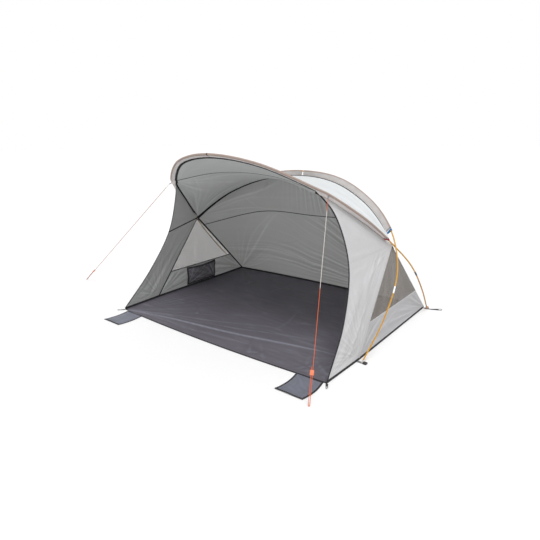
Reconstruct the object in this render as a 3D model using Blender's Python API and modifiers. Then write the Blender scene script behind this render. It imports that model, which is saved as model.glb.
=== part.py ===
"""A two-pole beach tent, open at the front. Metres, +Z up, the open side faces -Y.

The front pole runs from one rear corner over the visor to the other rear corner. The rear pole runs from
one side foot over the rear arch to the other. They cross at both sides, the rear pole outside the front
one. The cloth hangs from two sleeves, and each panel is a separate solid that stops just short of the
seam it shares with its neighbours.
"""

import math

import bmesh
import bpy
import numpy as np
from mathutils import Matrix, Vector

# Floor
floor_front_width = 2.050
floor_side_foot_width = 2.086
floor_rear_width = 2.108
floor_depth = 1.590
side_foot_depth = 0.388
front_edge_bow = 0.033
rear_edge_bow = 0.040
cloth_thickness = 0.002
side_hem_height = 0.016
front_hem_height = 0.0025
hem_ramp = 0.020

# Front pole: apex over the visor, widest spread, foot at the rear corner
front_apex_depth = 0.086
front_apex_height = 1.336
front_pole_spread = 1.108
rear_foot_depth = 1.589

# Rear pole: apex over the rear arch, widest spread, foot beside the tent
rear_apex_depth = 1.248
rear_apex_height = 1.155
rear_pole_spread = 1.122
side_pin_depth = 0.362

# Where the poles cross, and how far inside them the cloth comes together
crossing_spread = 1.030
crossing_depth = 0.900
crossing_height = 0.690
cloth_inset = 0.024

# Poles and what is in and on them
pole_radius = 0.005
pole_bore_radius = 0.003
shock_cord_radius = 0.0015
front_section_length = 0.575
rear_section_length = 0.532
ferrule_length = 0.050
ferrule_wall = 0.0008
pin_plug_length = 0.014
pin_plug_radius = 0.0025
pin_shoulder_radius = 0.0075
pin_shoulder_length = 0.006
pin_spike_length = 0.014
pin_spike_radius = 0.0024

# Sleeves
front_sleeve_width = 0.050
rear_sleeve_width = 0.050
sleeve_cloth = 0.0012
sleeve_ease = 0.0008
sleeve_band_thickness = 0.0024
sleeve_band_edge = 0.0010
sleeve_split = 0.010
tab_width = 0.012
seam_allowance = 0.003

# Straps, loops and flaps
strap_thickness = 0.0016
strap_width = 0.022
strap_lift = 0.0004
rear_strap_length = 0.056
side_strap_length = 0.052
strap_hole_radius = 0.0048
peg_loop_width = 0.016
peg_loop_hole_radius = 0.0045
rear_peg_loop_length = 0.095
front_peg_loop_length = 0.062
flap_width = 0.200
flap_length = 0.225
right_flap_inner_edge = 0.806
left_flap_inner_edge = 0.774
flap_corner_radius = 0.012

# Window, skirt and pocket
skirt_front_height = 0.215
skirt_rear_height = 0.212
pocket_front = 0.745
pocket_rear = 1.140
pocket_bottom = 0.032
pocket_top = 0.208
pocket_fullness = 0.026

# Guy lines
guy_radius = 0.00175
guy_loop_length = 0.024
guy_loop_width = 0.012
guy_loop_hole_radius = 0.0035
guy_strand_gap = 0.014
guy_tail_length = 0.016
right_peg_place = (1.074, -0.267)
left_peg_place = (-2.110, 0.279)
runner_length = 0.030
runner_width = 0.024
runner_thickness = 0.006
runner_from_peg = 0.165
runner_hole_ease = 0.0004

# Shape of the cloth between its seams
roof_sag = 0.067
roof_hollow = 0.092
visor_sag = 0.004
wing_belly = 0.010
wing_fold = 0.005
wall_belly = 0.012
wall_fold = 0.006

# Clearances
gap = 0.0003
sleeve_seat = 0.0005
tip_trim = 0.004
cord_lift = 0.0005
cord_step = 0.060

# Where the arches pass, as shares of the pole's spread, of its depth between apex and foot, and of its height
front_arch_shares = (
    (0.0, 0.0, 1.0),
    (0.347, 0.050, 0.957),
    (0.641, 0.179, 0.839),
    (0.688, 0.217, 0.811),
    (0.839, 0.382, 0.666),
)
front_leg_shares = ((0.986, 0.670, 0.379), (1.0, 0.830, 0.195), (0.981, 1.0, 0.0))
rear_arch_shares = (
    (0.0, 0.0, 1.0),
    (0.357, 0.045, 0.960),
    (0.653, 0.159, 0.835),
    (0.826, 0.281, 0.711),
)
rear_leg_shares = ((0.994, 0.541, 0.444), (1.0, 0.763, 0.216), (0.961, 1.0, 0.0))

# Where each sleeve's seam lies from the pole at those places, across, back and up, as shares of its width
front_sleeve_shares = (
    (0.0, 0.72, -0.48),
    (-0.30, 0.56, -0.39),
    (-0.66, 0.46, -0.30),
    (-0.68, 0.29, -0.33),
    (-0.98, 0.33, -0.24),
)
rear_sleeve_shares = (
    (0.0, -0.12, -0.72),
    (-0.29, -0.73, -0.59),
    (-0.47, -0.75, -0.32),
    (-0.55, -0.38, -0.31),
)

# The free edge of a wing, as shares of half the floor's front width, of the crossing's depth and of the
# front apex's height, with the wing's seam at the second place
opening_shares = ((0.767, 0.498, 0.707), (0.880, 0.493, 0.4745), (0.957, 0.293, 0.227))

# The roof's thin seam, as shares of its half width, of the way from the visor's rim to the rear arch, and of
# the roof's sag
thin_seam_shares = ((0.0, 0.262, 1.0), (0.49, 0.25, 0.79))

# The back wall's cross seam: the place of its ends on the rear leg's seam, and its rise at the middle
back_seam_end_share = 0.125
back_seam_middle_share = 0.340
back_seam_shoulder_shares = (0.55, 0.93)

# Which way the peg loops point, as shares across and back
front_loop_direction_shares = (1.0, -1.7, 0.0)
rear_loop_direction_shares = (1.0, 0.4, 0.0)

# How many straight steps the smooth lines have
front_arch_steps = (6, 6, 3, 5, 4)
rear_arch_steps = (3, 3, 3, 3)
leg_steps = 5
fine_steps = 24
round_sides = 10

UP = Vector((0.0, 0.0, 1.0))


def material(name, color, roughness, metallic=0.0):
    """A Principled material of one colour, made once per name."""
    made = bpy.data.materials.get(name)
    if made is None:
        made = bpy.data.materials.new(name)
        made.use_nodes = True
        shader = made.node_tree.nodes["Principled BSDF"]
        shader.inputs["Base Color"].default_value = (*color, 1.0)
        shader.inputs["Roughness"].default_value = roughness
        shader.inputs["Metallic"].default_value = metallic
    return made


def pale_cloth():
    return material("pale_cloth", (0.62, 0.62, 0.63), 0.75)


def sleeve_cloth_material():
    return material("sleeve_cloth", (0.56, 0.54, 0.53), 0.75)


def floor_cloth():
    return material("floor_cloth", (0.085, 0.08, 0.095), 0.6)


def insect_mesh():
    return material("insect_mesh", (0.20, 0.20, 0.20), 0.85)


def pocket_mesh():
    return material("pocket_mesh", (0.05, 0.05, 0.06), 0.85)


def flap_cloth():
    return material("flap_cloth", (0.16, 0.165, 0.195), 0.6)


def fibreglass():
    return material("fibreglass", (0.80, 0.40, 0.06), 0.3)


def steel():
    return material("steel", (0.75, 0.75, 0.76), 0.25, 1.0)


def elastic():
    return material("elastic", (0.85, 0.85, 0.85), 0.8)


def red_webbing():
    return material("red_webbing", (0.30, 0.01, 0.02), 0.8)


def blue_webbing():
    return material("blue_webbing", (0.01, 0.14, 0.38), 0.8)


def grey_webbing():
    return material("grey_webbing", (0.22, 0.22, 0.23), 0.8)


def guy_cord():
    return material("guy_cord", (0.85, 0.29, 0.15), 0.7)


def runner_plastic():
    return material("runner_plastic", (0.85, 0.22, 0.10), 0.4)


def face_out(body):
    """Turns the faces of a closed body outward."""
    bmesh.ops.recalc_face_normals(body, faces=body.faces)
    if body.calc_volume(signed=True) < 0:
        bmesh.ops.reverse_faces(body, faces=body.faces)


def start_scene():
    """Clears the scene and makes the tent's collection and the empty that every piece hangs from."""
    for old in list(bpy.data.objects):
        bpy.data.objects.remove(old, do_unlink=True)
    tent = bpy.data.collections.new("beach_tent")
    guides = bpy.data.collections.new("cutters_and_guides")
    bpy.context.scene.collection.children.link(tent)
    bpy.context.scene.collection.children.link(guides)
    origin = bpy.data.objects.new("tent_origin", None)
    tent.objects.link(origin)
    return tent, origin


def finish_object(name, mesh, surface, tent, origin):
    """Puts a mesh or curve into the tent as one named piece."""
    piece = bpy.data.objects.new(name, mesh)
    piece.data.materials.append(surface)
    tent.objects.link(piece)
    piece.parent = origin
    return piece


def smooth_line(stations, steps):
    """Points on a centripetal Catmull-Rom curve through the stations, so many steps for each stretch."""
    stations = [np.array(station, float) for station in stations]
    first = 2 * stations[0] - stations[1]
    last = 2 * stations[-1] - stations[-2]
    held = [first, *stations, last]
    points = []
    for index, count in enumerate(steps):
        p0, p1, p2, p3 = held[index:index + 4]
        t1 = np.linalg.norm(p1 - p0) ** 0.5
        t2 = t1 + np.linalg.norm(p2 - p1) ** 0.5
        t3 = t2 + np.linalg.norm(p3 - p2) ** 0.5
        for t in np.linspace(t1, t2, count, endpoint=False):
            a1 = (t1 - t) / t1 * p0 + t / t1 * p1
            a2 = (t2 - t) / (t2 - t1) * p1 + (t - t1) / (t2 - t1) * p2
            a3 = (t3 - t) / (t3 - t2) * p2 + (t - t2) / (t3 - t2) * p3
            b1 = (t2 - t) / t2 * a1 + t / t2 * a2
            b2 = (t3 - t) / (t3 - t1) * a2 + (t - t1) / (t3 - t1) * a3
            points.append((t2 - t) / (t2 - t1) * b1 + (t - t1) / (t2 - t1) * b2)
    points.append(stations[-1])
    return np.array(points)


def mirrored_line(stations, steps):
    """The +X half of a smooth line that is symmetric about the middle, so that it is level there."""
    stations = [np.array(station, float) for station in stations]
    other_side = stations[1] * (-1, 1, 1)
    line = smooth_line([other_side, *stations], (steps[0], *steps))
    return line[steps[0]:]


def unit(vector):
    vector = np.asarray(vector, float)
    return vector / np.linalg.norm(vector, axis=-1, keepdims=True)


def both_sides(half):
    """A line from the left end over the middle to the right end, from its right half."""
    return np.vstack([half[:0:-1] * (-1, 1, 1), half])


def straight(start, end, steps):
    share = np.linspace(0, 1, steps + 1)[:, None]
    return (1 - share) * start + share * end


def along(line):
    """The distance of each point of a line from its first point."""
    return np.concatenate([[0.0], np.cumsum(np.linalg.norm(np.diff(line, axis=0), axis=1))])


def interpolated(value, values, points):
    """The point that belongs to a value, between points whose values are known."""
    return np.array([np.interp(value, values, points[:, axis]) for axis in range(3)])


def place_at(line, distance):
    """The point at a distance along a line."""
    return interpolated(distance, along(line), line)


def stretch(line, start, end):
    """The part of a line between two distances along it."""
    places = along(line)
    inside = line[(places > start + gap) & (places < end - gap)]
    return np.vstack([place_at(line, start), inside, place_at(line, end)])


# The poles' centre lines, from the apex to the right foot
pin_reach = pin_shoulder_length + pin_spike_length + gap
crossing = np.array([crossing_spread, crossing_depth, crossing_height])


def arch_station(share, spread, apex_depth, foot_depth, height):
    across, back, up = share
    return (across * spread, apex_depth + back * (foot_depth - apex_depth), up * height)


def pole_line(arch_shares, leg_shares, arch_steps, sizes, middle):
    """A pole's right half through its arch, the crossing and its free leg, ending its pin's reach early."""
    arch = [arch_station(share, *sizes) for share in arch_shares]
    leg = [arch_station(share, *sizes) for share in leg_shares]
    leg_direction = unit(np.array(leg[-1]) - np.array(leg[-2]))
    leg[-1] = np.array(leg[-1]) - leg_direction * pin_reach
    steps = (*arch_steps, *(leg_steps for _ in leg))
    return mirrored_line([*arch, middle, *leg], steps)


front_sizes = (front_pole_spread, front_apex_depth, rear_foot_depth, front_apex_height)
rear_sizes = (rear_pole_spread, rear_apex_depth, side_pin_depth, rear_apex_height)
front_arch_end = sum(front_arch_steps)
rear_arch_end = sum(rear_arch_steps)


def crossing_direction():
    """The outward direction at the crossing, square to both poles."""
    front = pole_line(front_arch_shares, front_leg_shares, front_arch_steps, front_sizes, crossing)
    rear = pole_line(rear_arch_shares, rear_leg_shares, rear_arch_steps, rear_sizes, crossing)
    front_run = front[front_arch_end + 1] - front[front_arch_end - 1]
    rear_run = rear[rear_arch_end + 1] - rear[rear_arch_end - 1]
    across = unit(np.cross(front_run, rear_run))
    return across * np.sign(across[0])


outward = crossing_direction()
half_apart = pole_radius + gap / 2
front_half = pole_line(
    front_arch_shares, front_leg_shares, front_arch_steps, front_sizes, crossing - outward * half_apart
)
rear_half = pole_line(
    rear_arch_shares, rear_leg_shares, rear_arch_steps, rear_sizes, crossing + outward * half_apart
)


# The seams. A seam is a line of points on the cloth's inner side and a line of vectors from there to its
# outer side. All the panels that meet at a seam end at the same vectors.
cloth_crossing = crossing - np.array([cloth_inset, 0.0, 0.0])
crossing_out = unit((1.0, 0.0, 0.25)) * seam_allowance


def sleeve_seam(pole, stations, width, width_shares):
    """The right half of a sleeve's seam, with its points square to the pole at the pole's own points."""
    places = [np.array(place) + width * np.array(share) for place, share in zip(stations, width_shares)]
    fine = mirrored_line([*places, cloth_crossing], [fine_steps] * len(places))
    points = [fine[0]]
    for index in range(1, len(pole) - 1):
        pole_run = pole[index + 1] - pole[index - 1]
        ahead = (fine - pole[index]) @ pole_run
        after = int(np.argmax(ahead > 0))
        share = ahead[after] / (ahead[after] - ahead[after - 1])
        points.append(fine[after] + share * (fine[after - 1] - fine[after]))
    points.append(cloth_crossing)
    return np.array(points)


front_seam_half = sleeve_seam(
    front_half[:front_arch_end + 1],
    [arch_station(share, *front_sizes) for share in front_arch_shares],
    front_sleeve_width,
    front_sleeve_shares,
)
rear_seam_half = sleeve_seam(
    rear_half[:rear_arch_end + 1],
    [arch_station(share, *rear_sizes) for share in rear_arch_shares],
    rear_sleeve_width,
    rear_sleeve_shares,
)


def sleeve_outs(seam, pole):
    outs = unit(pole[:len(seam)] - seam) * seam_allowance
    outs[-1] = crossing_out
    return outs


front_outs_half = sleeve_outs(front_seam_half, front_half)
rear_outs_half = sleeve_outs(rear_seam_half, rear_half)

# The floor's outline. The walls stand on its hem.
front_corner = np.array([floor_front_width / 2, 0.0, 0.0])
side_foot = np.array([floor_side_foot_width / 2, side_foot_depth, 0.0])
rear_corner = np.array([floor_rear_width / 2, floor_depth, 0.0])
base_height = side_hem_height + gap / 2
base_lift = np.array([0.0, 0.0, base_height])
across_steps = 2 * rear_arch_end
side_steps = front_arch_end - sum(front_arch_steps[:2])
high_arch_end = sum(front_arch_steps[:2])


def bowed(half_width, depth, bow, steps):
    """Points from left to right along an edge that bows by a given amount at the middle."""
    across = np.linspace(-half_width, half_width, steps + 1)
    swell = 1 - (across / half_width) ** 2
    return np.stack([across, depth + bow * swell, np.zeros(steps + 1)], axis=1)


rear_edge = bowed(floor_rear_width / 2, floor_depth, rear_edge_bow, across_steps)
front_edge = bowed(floor_front_width / 2 - hem_ramp, 0.0, -front_edge_bow, side_steps)


def outline_points():
    """The floor's outline, counter-clockwise from above, and the height of the hem at each point."""
    left = np.array([-1, 1, 1])
    loop = [front_corner, side_foot, *rear_edge[::-1], side_foot * left, front_corner * left, *front_edge]
    low_from = len(loop) - len(front_edge)
    heights = [side_hem_height] * low_from + [front_hem_height] * len(front_edge)
    return np.array(loop), np.array(heights)


def mitred(loop, thickness):
    """The vector at each corner of a flat loop that moves both its sides out by the thickness."""
    before = unit(loop - np.roll(loop, 1, axis=0))
    after = unit(np.roll(loop, -1, axis=0) - loop)
    normal_before = np.stack([before[:, 1], -before[:, 0], before[:, 2]], axis=1)
    normal_after = np.stack([after[:, 1], -after[:, 0], after[:, 2]], axis=1)
    middle = unit(normal_before + normal_after)
    share = np.sum(middle * normal_after, axis=1, keepdims=True)
    return middle * thickness / share


outline, hem_heights = outline_points()
outline_outs = mitred(outline, cloth_thickness)
base_front_out = np.array([cloth_thickness, 0.0, 0.0])
base_foot_out = outline_outs[1]
base_rear_outs = outline_outs[2:2 + len(rear_edge)][::-1]
base_rear_out = base_rear_outs[-1]


def blend(start, end, steps):
    return straight(np.asarray(start), np.asarray(end), steps)


def facing_out(line, inward, first, last):
    """Vectors square to a seam and to the cloth beside it, eased into given ones at both ends."""
    run = np.gradient(line, axis=0)
    outs = unit(np.cross(run, inward))
    middle = outs[len(outs) // 2]
    if np.dot(middle, line[len(line) // 2] - tent_middle) < 0:
        outs = -outs
    outs = outs * cloth_thickness
    outs[0] = first
    outs[-1] = last
    return outs


tent_middle = np.array([0.0, floor_depth / 2, front_apex_height / 3])
foot_base = side_foot + base_lift
rear_base = rear_corner + base_lift
front_base = front_corner + base_lift

# The seams from the crossing down to the side foot and to the rear corner are straight
front_leg_seam_share = 1 - (skirt_front_height - base_height) / (cloth_crossing[2] - base_height)
rear_leg_seam_share = 1 - (skirt_rear_height - base_height) / (cloth_crossing[2] - base_height)


def leg_place(end, end_out, share):
    """The place and the out vector at a share of the way down a leg's seam."""
    place = cloth_crossing + (end - cloth_crossing) * share
    out = crossing_out + (end_out - crossing_out) * share
    return place, out


window_front, window_front_out = leg_place(foot_base, base_foot_out, front_leg_seam_share)
window_rear, window_rear_out = leg_place(rear_base, base_rear_out, rear_leg_seam_share)
back_seam_end, back_seam_end_out = leg_place(rear_base, base_rear_out, back_seam_end_share)

# The wing's free edge, and its seam from the crossing to that edge
visor_corner = front_seam_half[high_arch_end]
visor_corner_out = front_outs_half[high_arch_end]
opening_sizes = np.array([floor_front_width / 2, crossing_depth, front_apex_height])
opening_stations = [np.array(share) * opening_sizes for share in opening_shares]
opening_steps = (4, 4, 6, 6)
opening_edge = smooth_line([visor_corner, *opening_stations, front_base], opening_steps)
wing_seam_row = sum(opening_steps[:2])
wing_corner = opening_edge[wing_seam_row]
wing_seam = straight(cloth_crossing, wing_corner, side_steps)
wing_seam_below = straight(foot_base, front_base, side_steps) - wing_seam
wing_corner_out = unit(np.cross(wing_seam[-1] - wing_seam[-2], wing_seam_below[-1])) * cloth_thickness
wing_corner_out = wing_corner_out * np.sign(wing_corner_out[0])
wing_seam_outs = facing_out(wing_seam, wing_seam_below, crossing_out, wing_corner_out)


def thin_seam_line():
    """The roof's seam from one visor corner to the other, below the straight lines between the two arches."""
    stations = []
    for across, back, sag in thin_seam_shares:
        place = across * visor_corner[0]
        rim = interpolated(place, front_seam_half[:, 0], front_seam_half)
        ridge = interpolated(place, rear_seam_half[:, 0], rear_seam_half)
        station = rim + back * (ridge - rim)
        station[2] -= roof_sag * sag
        stations.append(station)
    steps = (rear_arch_end // 2, rear_arch_end - rear_arch_end // 2)
    return mirrored_line([*stations, visor_corner], steps)


thin_seam = both_sides(thin_seam_line())
rear_seam = both_sides(rear_seam_half)
rear_outs = np.vstack([rear_outs_half[:0:-1] * (-1, 1, 1), rear_outs_half])
thin_outs = facing_out(thin_seam, rear_seam - thin_seam, visor_corner_out * (-1, 1, 1), visor_corner_out)


def back_seam_line():
    """The back wall's cross seam, flat over the middle and falling to the rear legs' seams at its ends."""
    top = rear_seam_half[0]
    bottom = rear_edge[across_steps // 2] + base_lift
    middle = top + back_seam_middle_share * (bottom - top)
    across, rise = back_seam_shoulder_shares
    shoulder = back_seam_end * (across, 1, 1)
    shoulder[1] = back_seam_end[1] + rise * (middle[1] - back_seam_end[1])
    shoulder[2] = back_seam_end[2] + rise * (middle[2] - back_seam_end[2])
    steps = (rear_arch_end // 2, rear_arch_end - rear_arch_end // 2)
    return mirrored_line([middle, shoulder, back_seam_end], steps)


back_seam = both_sides(back_seam_line())
rear_base_line = rear_edge + base_lift
back_outs = facing_out(
    back_seam, rear_base_line - back_seam, back_seam_end_out * (-1, 1, 1), back_seam_end_out
)


def seam(points, outs=None):
    """One edge of a panel. An edge with no out vectors is free, such as the wing's opening edge."""
    return np.asarray(points), None if outs is None else np.asarray(outs)


def leg_seam(start, end):
    """The stretch of a straight leg seam between two places, each with its out vector."""
    return seam(straight(start[0], end[0], side_steps), blend(start[1], end[1], side_steps))


def patch(low, high, start, end):
    """A grid between four edges. low and high run across, start and end run along."""
    u = np.linspace(0, 1, len(low))[None, :, None]
    v = np.linspace(0, 1, len(start))[:, None, None]
    ruled = (1 - v) * low[None] + v * high[None]
    crossed = (1 - u) * start[:, None] + u * end[:, None]
    near = (1 - u) * low[0] + u * low[-1]
    far = (1 - u) * high[0] + u * high[-1]
    return ruled + crossed - (1 - v) * near - v * far


def surface_normals(grid):
    """Unit normals of a grid, facing away from the middle of the tent."""
    along_rows = np.gradient(grid, axis=1)
    along_columns = np.gradient(grid, axis=0)
    normals = np.cross(along_rows, along_columns)
    size = np.linalg.norm(normals, axis=2, keepdims=True)
    whole = size[:, :, 0] > gap * gap
    for row in range(len(grid)):
        if not whole[row].all():
            near = row + 1 if row == 0 else row - 1
            normals[row] = normals[near]
            size[row] = size[near]
    normals = normals / size
    middle = grid.reshape(-1, 3).mean(axis=0) - tent_middle
    if np.sum(normals.reshape(-1, 3).mean(axis=0) * middle) < 0:
        normals = -normals
    return normals


def seam_shift(points, outs, towards):
    """Moves an edge off its seam by half the gap, square to the seam and to its out vectors."""
    run = np.gradient(points, axis=0)
    for index in range(len(run)):
        if np.linalg.norm(run[index]) < gap:
            return np.zeros_like(points)
    square = unit(np.cross(run, outs))
    side = 1 if np.sum(square * towards) > 0 else -1
    return square * side * gap / 2


def panel_sheets(low, high, start, end, belly, fold, fold_count):
    """The inner and outer sheets of a panel, with its belly and folds, inside its four seams."""
    grid = patch(low[0], high[0], start[0], end[0])
    normals = surface_normals(grid)
    u = np.linspace(0, 1, grid.shape[1])[None, :, None]
    v = np.linspace(0, 1, grid.shape[0])[:, None, None]
    fade = 16 * u * (1 - u) * v * (1 - v)
    wave = np.sin(2 * math.pi * fold_count * u)
    grid = grid + normals * fade * (belly + fold * wave)
    normals = surface_normals(grid)
    offset = normals * cloth_thickness
    shift = np.zeros_like(grid)
    for edge, rows, columns, inner_rows, inner_columns in (
        (low, 0, slice(None), 1, slice(None)),
        (high, -1, slice(None), -2, slice(None)),
        (start, slice(None), 0, slice(None), 1),
        (end, slice(None), -1, slice(None), -2),
    ):
        points, outs = edge
        if outs is None:
            continue
        offset[rows, columns] = outs
        towards = grid[inner_rows, inner_columns] - grid[rows, columns]
        shift[rows, columns] += seam_shift(points, outs, towards)
    return grid + shift, grid + shift + offset


def is_point(edge):
    return np.linalg.norm(edge[0][0] - edge[0][-1]) < gap


def panel_mesh(name, inner, outer, first_is_point, last_is_point):
    """Closes two sheets into one body. A first or last row that is a point becomes one corner.

    The narrow faces along a seam are split from the end nearer the middle of the tent, the same way on both
    panels, so that twisted faces don't cut into each other.
    """
    rows, columns = inner.shape[:2]
    body = bmesh.new()
    corners = []
    for sheet in (inner, outer):
        grid = []
        for row in range(rows):
            if row == 0 and first_is_point:
                tip = sheet[0].mean(axis=0)
                tip = tip + unit(sheet[1].mean(axis=0) - tip) * tip_trim
                grid.append([body.verts.new(tip)] * columns)
            elif row == rows - 1 and last_is_point:
                tip = sheet[-1].mean(axis=0)
                tip = tip + unit(sheet[-2].mean(axis=0) - tip) * tip_trim
                grid.append([body.verts.new(tip)] * columns)
            else:
                grid.append([body.verts.new(point) for point in sheet[row]])
        corners.append(grid)

    def face(*verts):
        ring = []
        for vert in verts:
            if vert not in ring:
                ring.append(vert)
        if len(ring) > 2:
            body.faces.new(ring)

    low, high = corners
    for row in range(rows - 1):
        for column in range(columns - 1):
            for grid in corners:
                near, far = grid[row], grid[row + 1]
                face(near[column], near[column + 1], far[column + 1], far[column])
    border = [(0, column) for column in range(columns)]
    border += [(row, columns - 1) for row in range(1, rows)]
    border += [(rows - 1, column) for column in range(columns - 2, -1, -1)]
    border += [(row, 0) for row in range(rows - 2, 0, -1)]
    for index, (row, column) in enumerate(border):
        next_row, next_column = border[(index + 1) % len(border)]
        first = (low[row][column], high[row][column])
        second = (low[next_row][next_column], high[next_row][next_column])
        if first[0] is second[0]:
            continue
        if abs(first[0].co.x) > abs(second[0].co.x):
            first, second = second, first
        face(first[0], second[0], second[1])
        face(first[0], second[1], first[1])
    face_out(body)
    mesh = bpy.data.meshes.new(name)
    body.to_mesh(mesh)
    body.free()
    mesh.shade_smooth()
    mesh.set_sharp_from_angle(angle=math.radians(40))
    return mesh


def panel(name, low, high, start, end, surface, home, belly=0.0, fold=0.0, fold_count=0):
    inner, outer = panel_sheets(low, high, start, end, belly, fold, fold_count)
    mesh = panel_mesh(name, inner, outer, is_point(low), is_point(high))
    return finish_object(name, mesh, surface, *home)


def flipped(edge):
    """The same edge on the left side of the tent."""
    points, outs = edge
    mirror = np.array([-1, 1, 1])
    return points * mirror, None if outs is None else outs * mirror


def point_edge(place, out, steps):
    return seam(np.repeat([place], steps + 1, axis=0), np.repeat([out], steps + 1, axis=0))


def groundsheet(home):
    """The floor with its raised hem: outer loop, hem top, inner loop and floor top."""
    body = bmesh.new()
    hem_top = outline + np.stack([hem_heights * 0, hem_heights * 0, hem_heights], axis=1)
    floor_top = outline + np.array([0.0, 0.0, cloth_thickness])
    loops = [outline + outline_outs, hem_top + outline_outs, hem_top, floor_top]
    rings = [[body.verts.new(point) for point in loop] for loop in loops]
    count = len(outline)
    for lower, upper in zip(rings, rings[1:]):
        for index in range(count):
            after = (index + 1) % count
            body.faces.new((lower[index], lower[after], upper[after], upper[index]))
    body.faces.new(rings[0][::-1])
    body.faces.new(rings[-1])
    bmesh.ops.triangulate(body, faces=[face for face in body.faces if len(face.verts) > 4])
    face_out(body)
    mesh = bpy.data.meshes.new("groundsheet")
    body.to_mesh(mesh)
    body.free()
    return finish_object("groundsheet", mesh, floor_cloth(), *home)


def roof(home):
    left = (-1, 1, 1)
    high_half = front_seam_half[:high_arch_end + 1]
    rim = np.vstack([high_half[:0:-1] * left, high_half])
    rim_outs_half = front_outs_half[:high_arch_end + 1]
    rim_outs = np.vstack([rim_outs_half[:0:-1] * left, rim_outs_half])
    depth_steps = 3
    ends = []
    for place, out in ((rim[0], rim_outs[0]), (rim[-1], rim_outs[-1])):
        ends.append(point_edge(place, out, depth_steps))
    visor_low, visor_high = ends
    panel(
        "visor_panel",
        visor_low,
        visor_high,
        seam(rim, rim_outs),
        seam(thin_seam, thin_outs),
        pale_cloth(),
        home,
        belly=-visor_sag,
    )
    side = seam(front_seam_half[high_arch_end:], front_outs_half[high_arch_end:])
    panel(
        "roof_panel",
        seam(thin_seam, thin_outs),
        seam(rear_seam, rear_outs),
        flipped(side),
        side,
        pale_cloth(),
        home,
        belly=-roof_hollow,
    )


def back_wall(home):
    upper_steps = 3
    upper_end = seam(
        straight(cloth_crossing, back_seam_end, upper_steps),
        blend(crossing_out, back_seam_end_out, upper_steps),
    )
    panel(
        "rear_wall_upper",
        seam(rear_seam, rear_outs),
        seam(back_seam, back_outs),
        flipped(upper_end),
        upper_end,
        pale_cloth(),
        home,
        fold=wall_fold / 2,
        fold_count=5,
    )
    lower_steps = 8
    lower_end = seam(
        straight(back_seam_end, rear_base, lower_steps),
        blend(back_seam_end_out, base_rear_out, lower_steps),
    )
    panel(
        "rear_wall_lower",
        seam(back_seam, back_outs),
        seam(rear_base_line, base_rear_outs),
        flipped(lower_end),
        lower_end,
        pale_cloth(),
        home,
        belly=wall_belly,
        fold=wall_fold,
        fold_count=6,
    )


def side_panels(home):
    """The two wing panels, the window and the skirt of the right side, and their mirror images."""
    steps = side_steps
    front_low = seam(front_seam_half[high_arch_end:][::-1], front_outs_half[high_arch_end:][::-1])
    wing_line = seam(wing_seam, wing_seam_outs)
    upper_edge = seam(opening_edge[:wing_seam_row + 1])
    lower_edge = seam(opening_edge[wing_seam_row:])
    leg = leg_seam((cloth_crossing, crossing_out), (foot_base, base_foot_out))
    base = seam(straight(foot_base, front_base, steps), blend(base_foot_out, base_front_out, steps))
    window_steps = 4
    window_low = seam(
        straight(window_front, window_rear, window_steps),
        blend(window_front_out, window_rear_out, window_steps),
    )
    window_side = []
    skirt_side = []
    for place, out, end, end_out in (
        (window_front, window_front_out, foot_base, base_foot_out),
        (window_rear, window_rear_out, rear_base, base_rear_out),
    ):
        window_side.append(
            seam(straight(cloth_crossing, place, window_steps), blend(crossing_out, out, window_steps))
        )
        skirt_side.append(seam(straight(place, end, window_steps), blend(out, end_out, window_steps)))
    skirt_steps = 12
    skirt_top = seam(
        straight(window_front, window_rear, skirt_steps),
        blend(window_front_out, window_rear_out, skirt_steps),
    )
    skirt_base = seam(
        straight(foot_base, rear_base, skirt_steps), blend(base_foot_out, base_rear_out, skirt_steps)
    )
    wing_tip = point_edge(cloth_crossing, crossing_out, wing_seam_row)
    window_tip = point_edge(cloth_crossing, crossing_out, window_steps)
    for side, edge in (("right", lambda e: e), ("left", flipped)):
        panel(
            f"wing_upper_{side}",
            edge(wing_tip),
            edge(upper_edge),
            edge(front_low),
            edge(wing_line),
            pale_cloth(),
            home,
            belly=wing_belly / 2,
        )
        panel(
            f"wing_lower_{side}",
            edge(wing_line),
            edge(base),
            edge(leg),
            edge(lower_edge),
            pale_cloth(),
            home,
            belly=wing_belly,
            fold=wing_fold,
            fold_count=3,
        )
        panel(
            f"window_mesh_{side}",
            edge(window_tip),
            edge(window_low),
            edge(window_side[0]),
            edge(window_side[1]),
            insect_mesh(),
            home,
        )
        panel(
            f"skirt_{side}",
            edge(skirt_top),
            edge(skirt_base),
            edge(skirt_side[0]),
            edge(skirt_side[1]),
            pale_cloth(),
            home,
        )


def storage_pocket(home):
    """A full pocket on the inside of the left skirt, sewn at both ends and below and open above."""
    steps_along = 8
    steps_up = 4
    along_share = np.linspace(0, 1, steps_along + 1)
    up_share = np.linspace(0, 1, steps_up + 1)
    side = np.cross(rear_base - foot_base, cloth_crossing - foot_base)
    rows = []
    for up in up_share:
        row = []
        for share in along_share:
            depth = pocket_front + share * (pocket_rear - pocket_front)
            height = pocket_bottom + up * (pocket_top - pocket_bottom)
            away = side[1] * (depth - foot_base[1]) + side[2] * (height - foot_base[2])
            wall = foot_base[0] - away / side[0]
            full = math.sin(math.pi * share) * math.sin(math.pi / 2 * up) ** 0.6
            row.append((gap + pocket_fullness * full - wall, depth, height))
        rows.append(row)
    inner = np.array(rows)
    outer = inner + np.array([cloth_thickness, 0.0, 0.0])
    mesh = panel_mesh("storage_pocket", inner, outer, False, False)
    return finish_object("storage_pocket", mesh, pocket_mesh(), *home)


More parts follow.
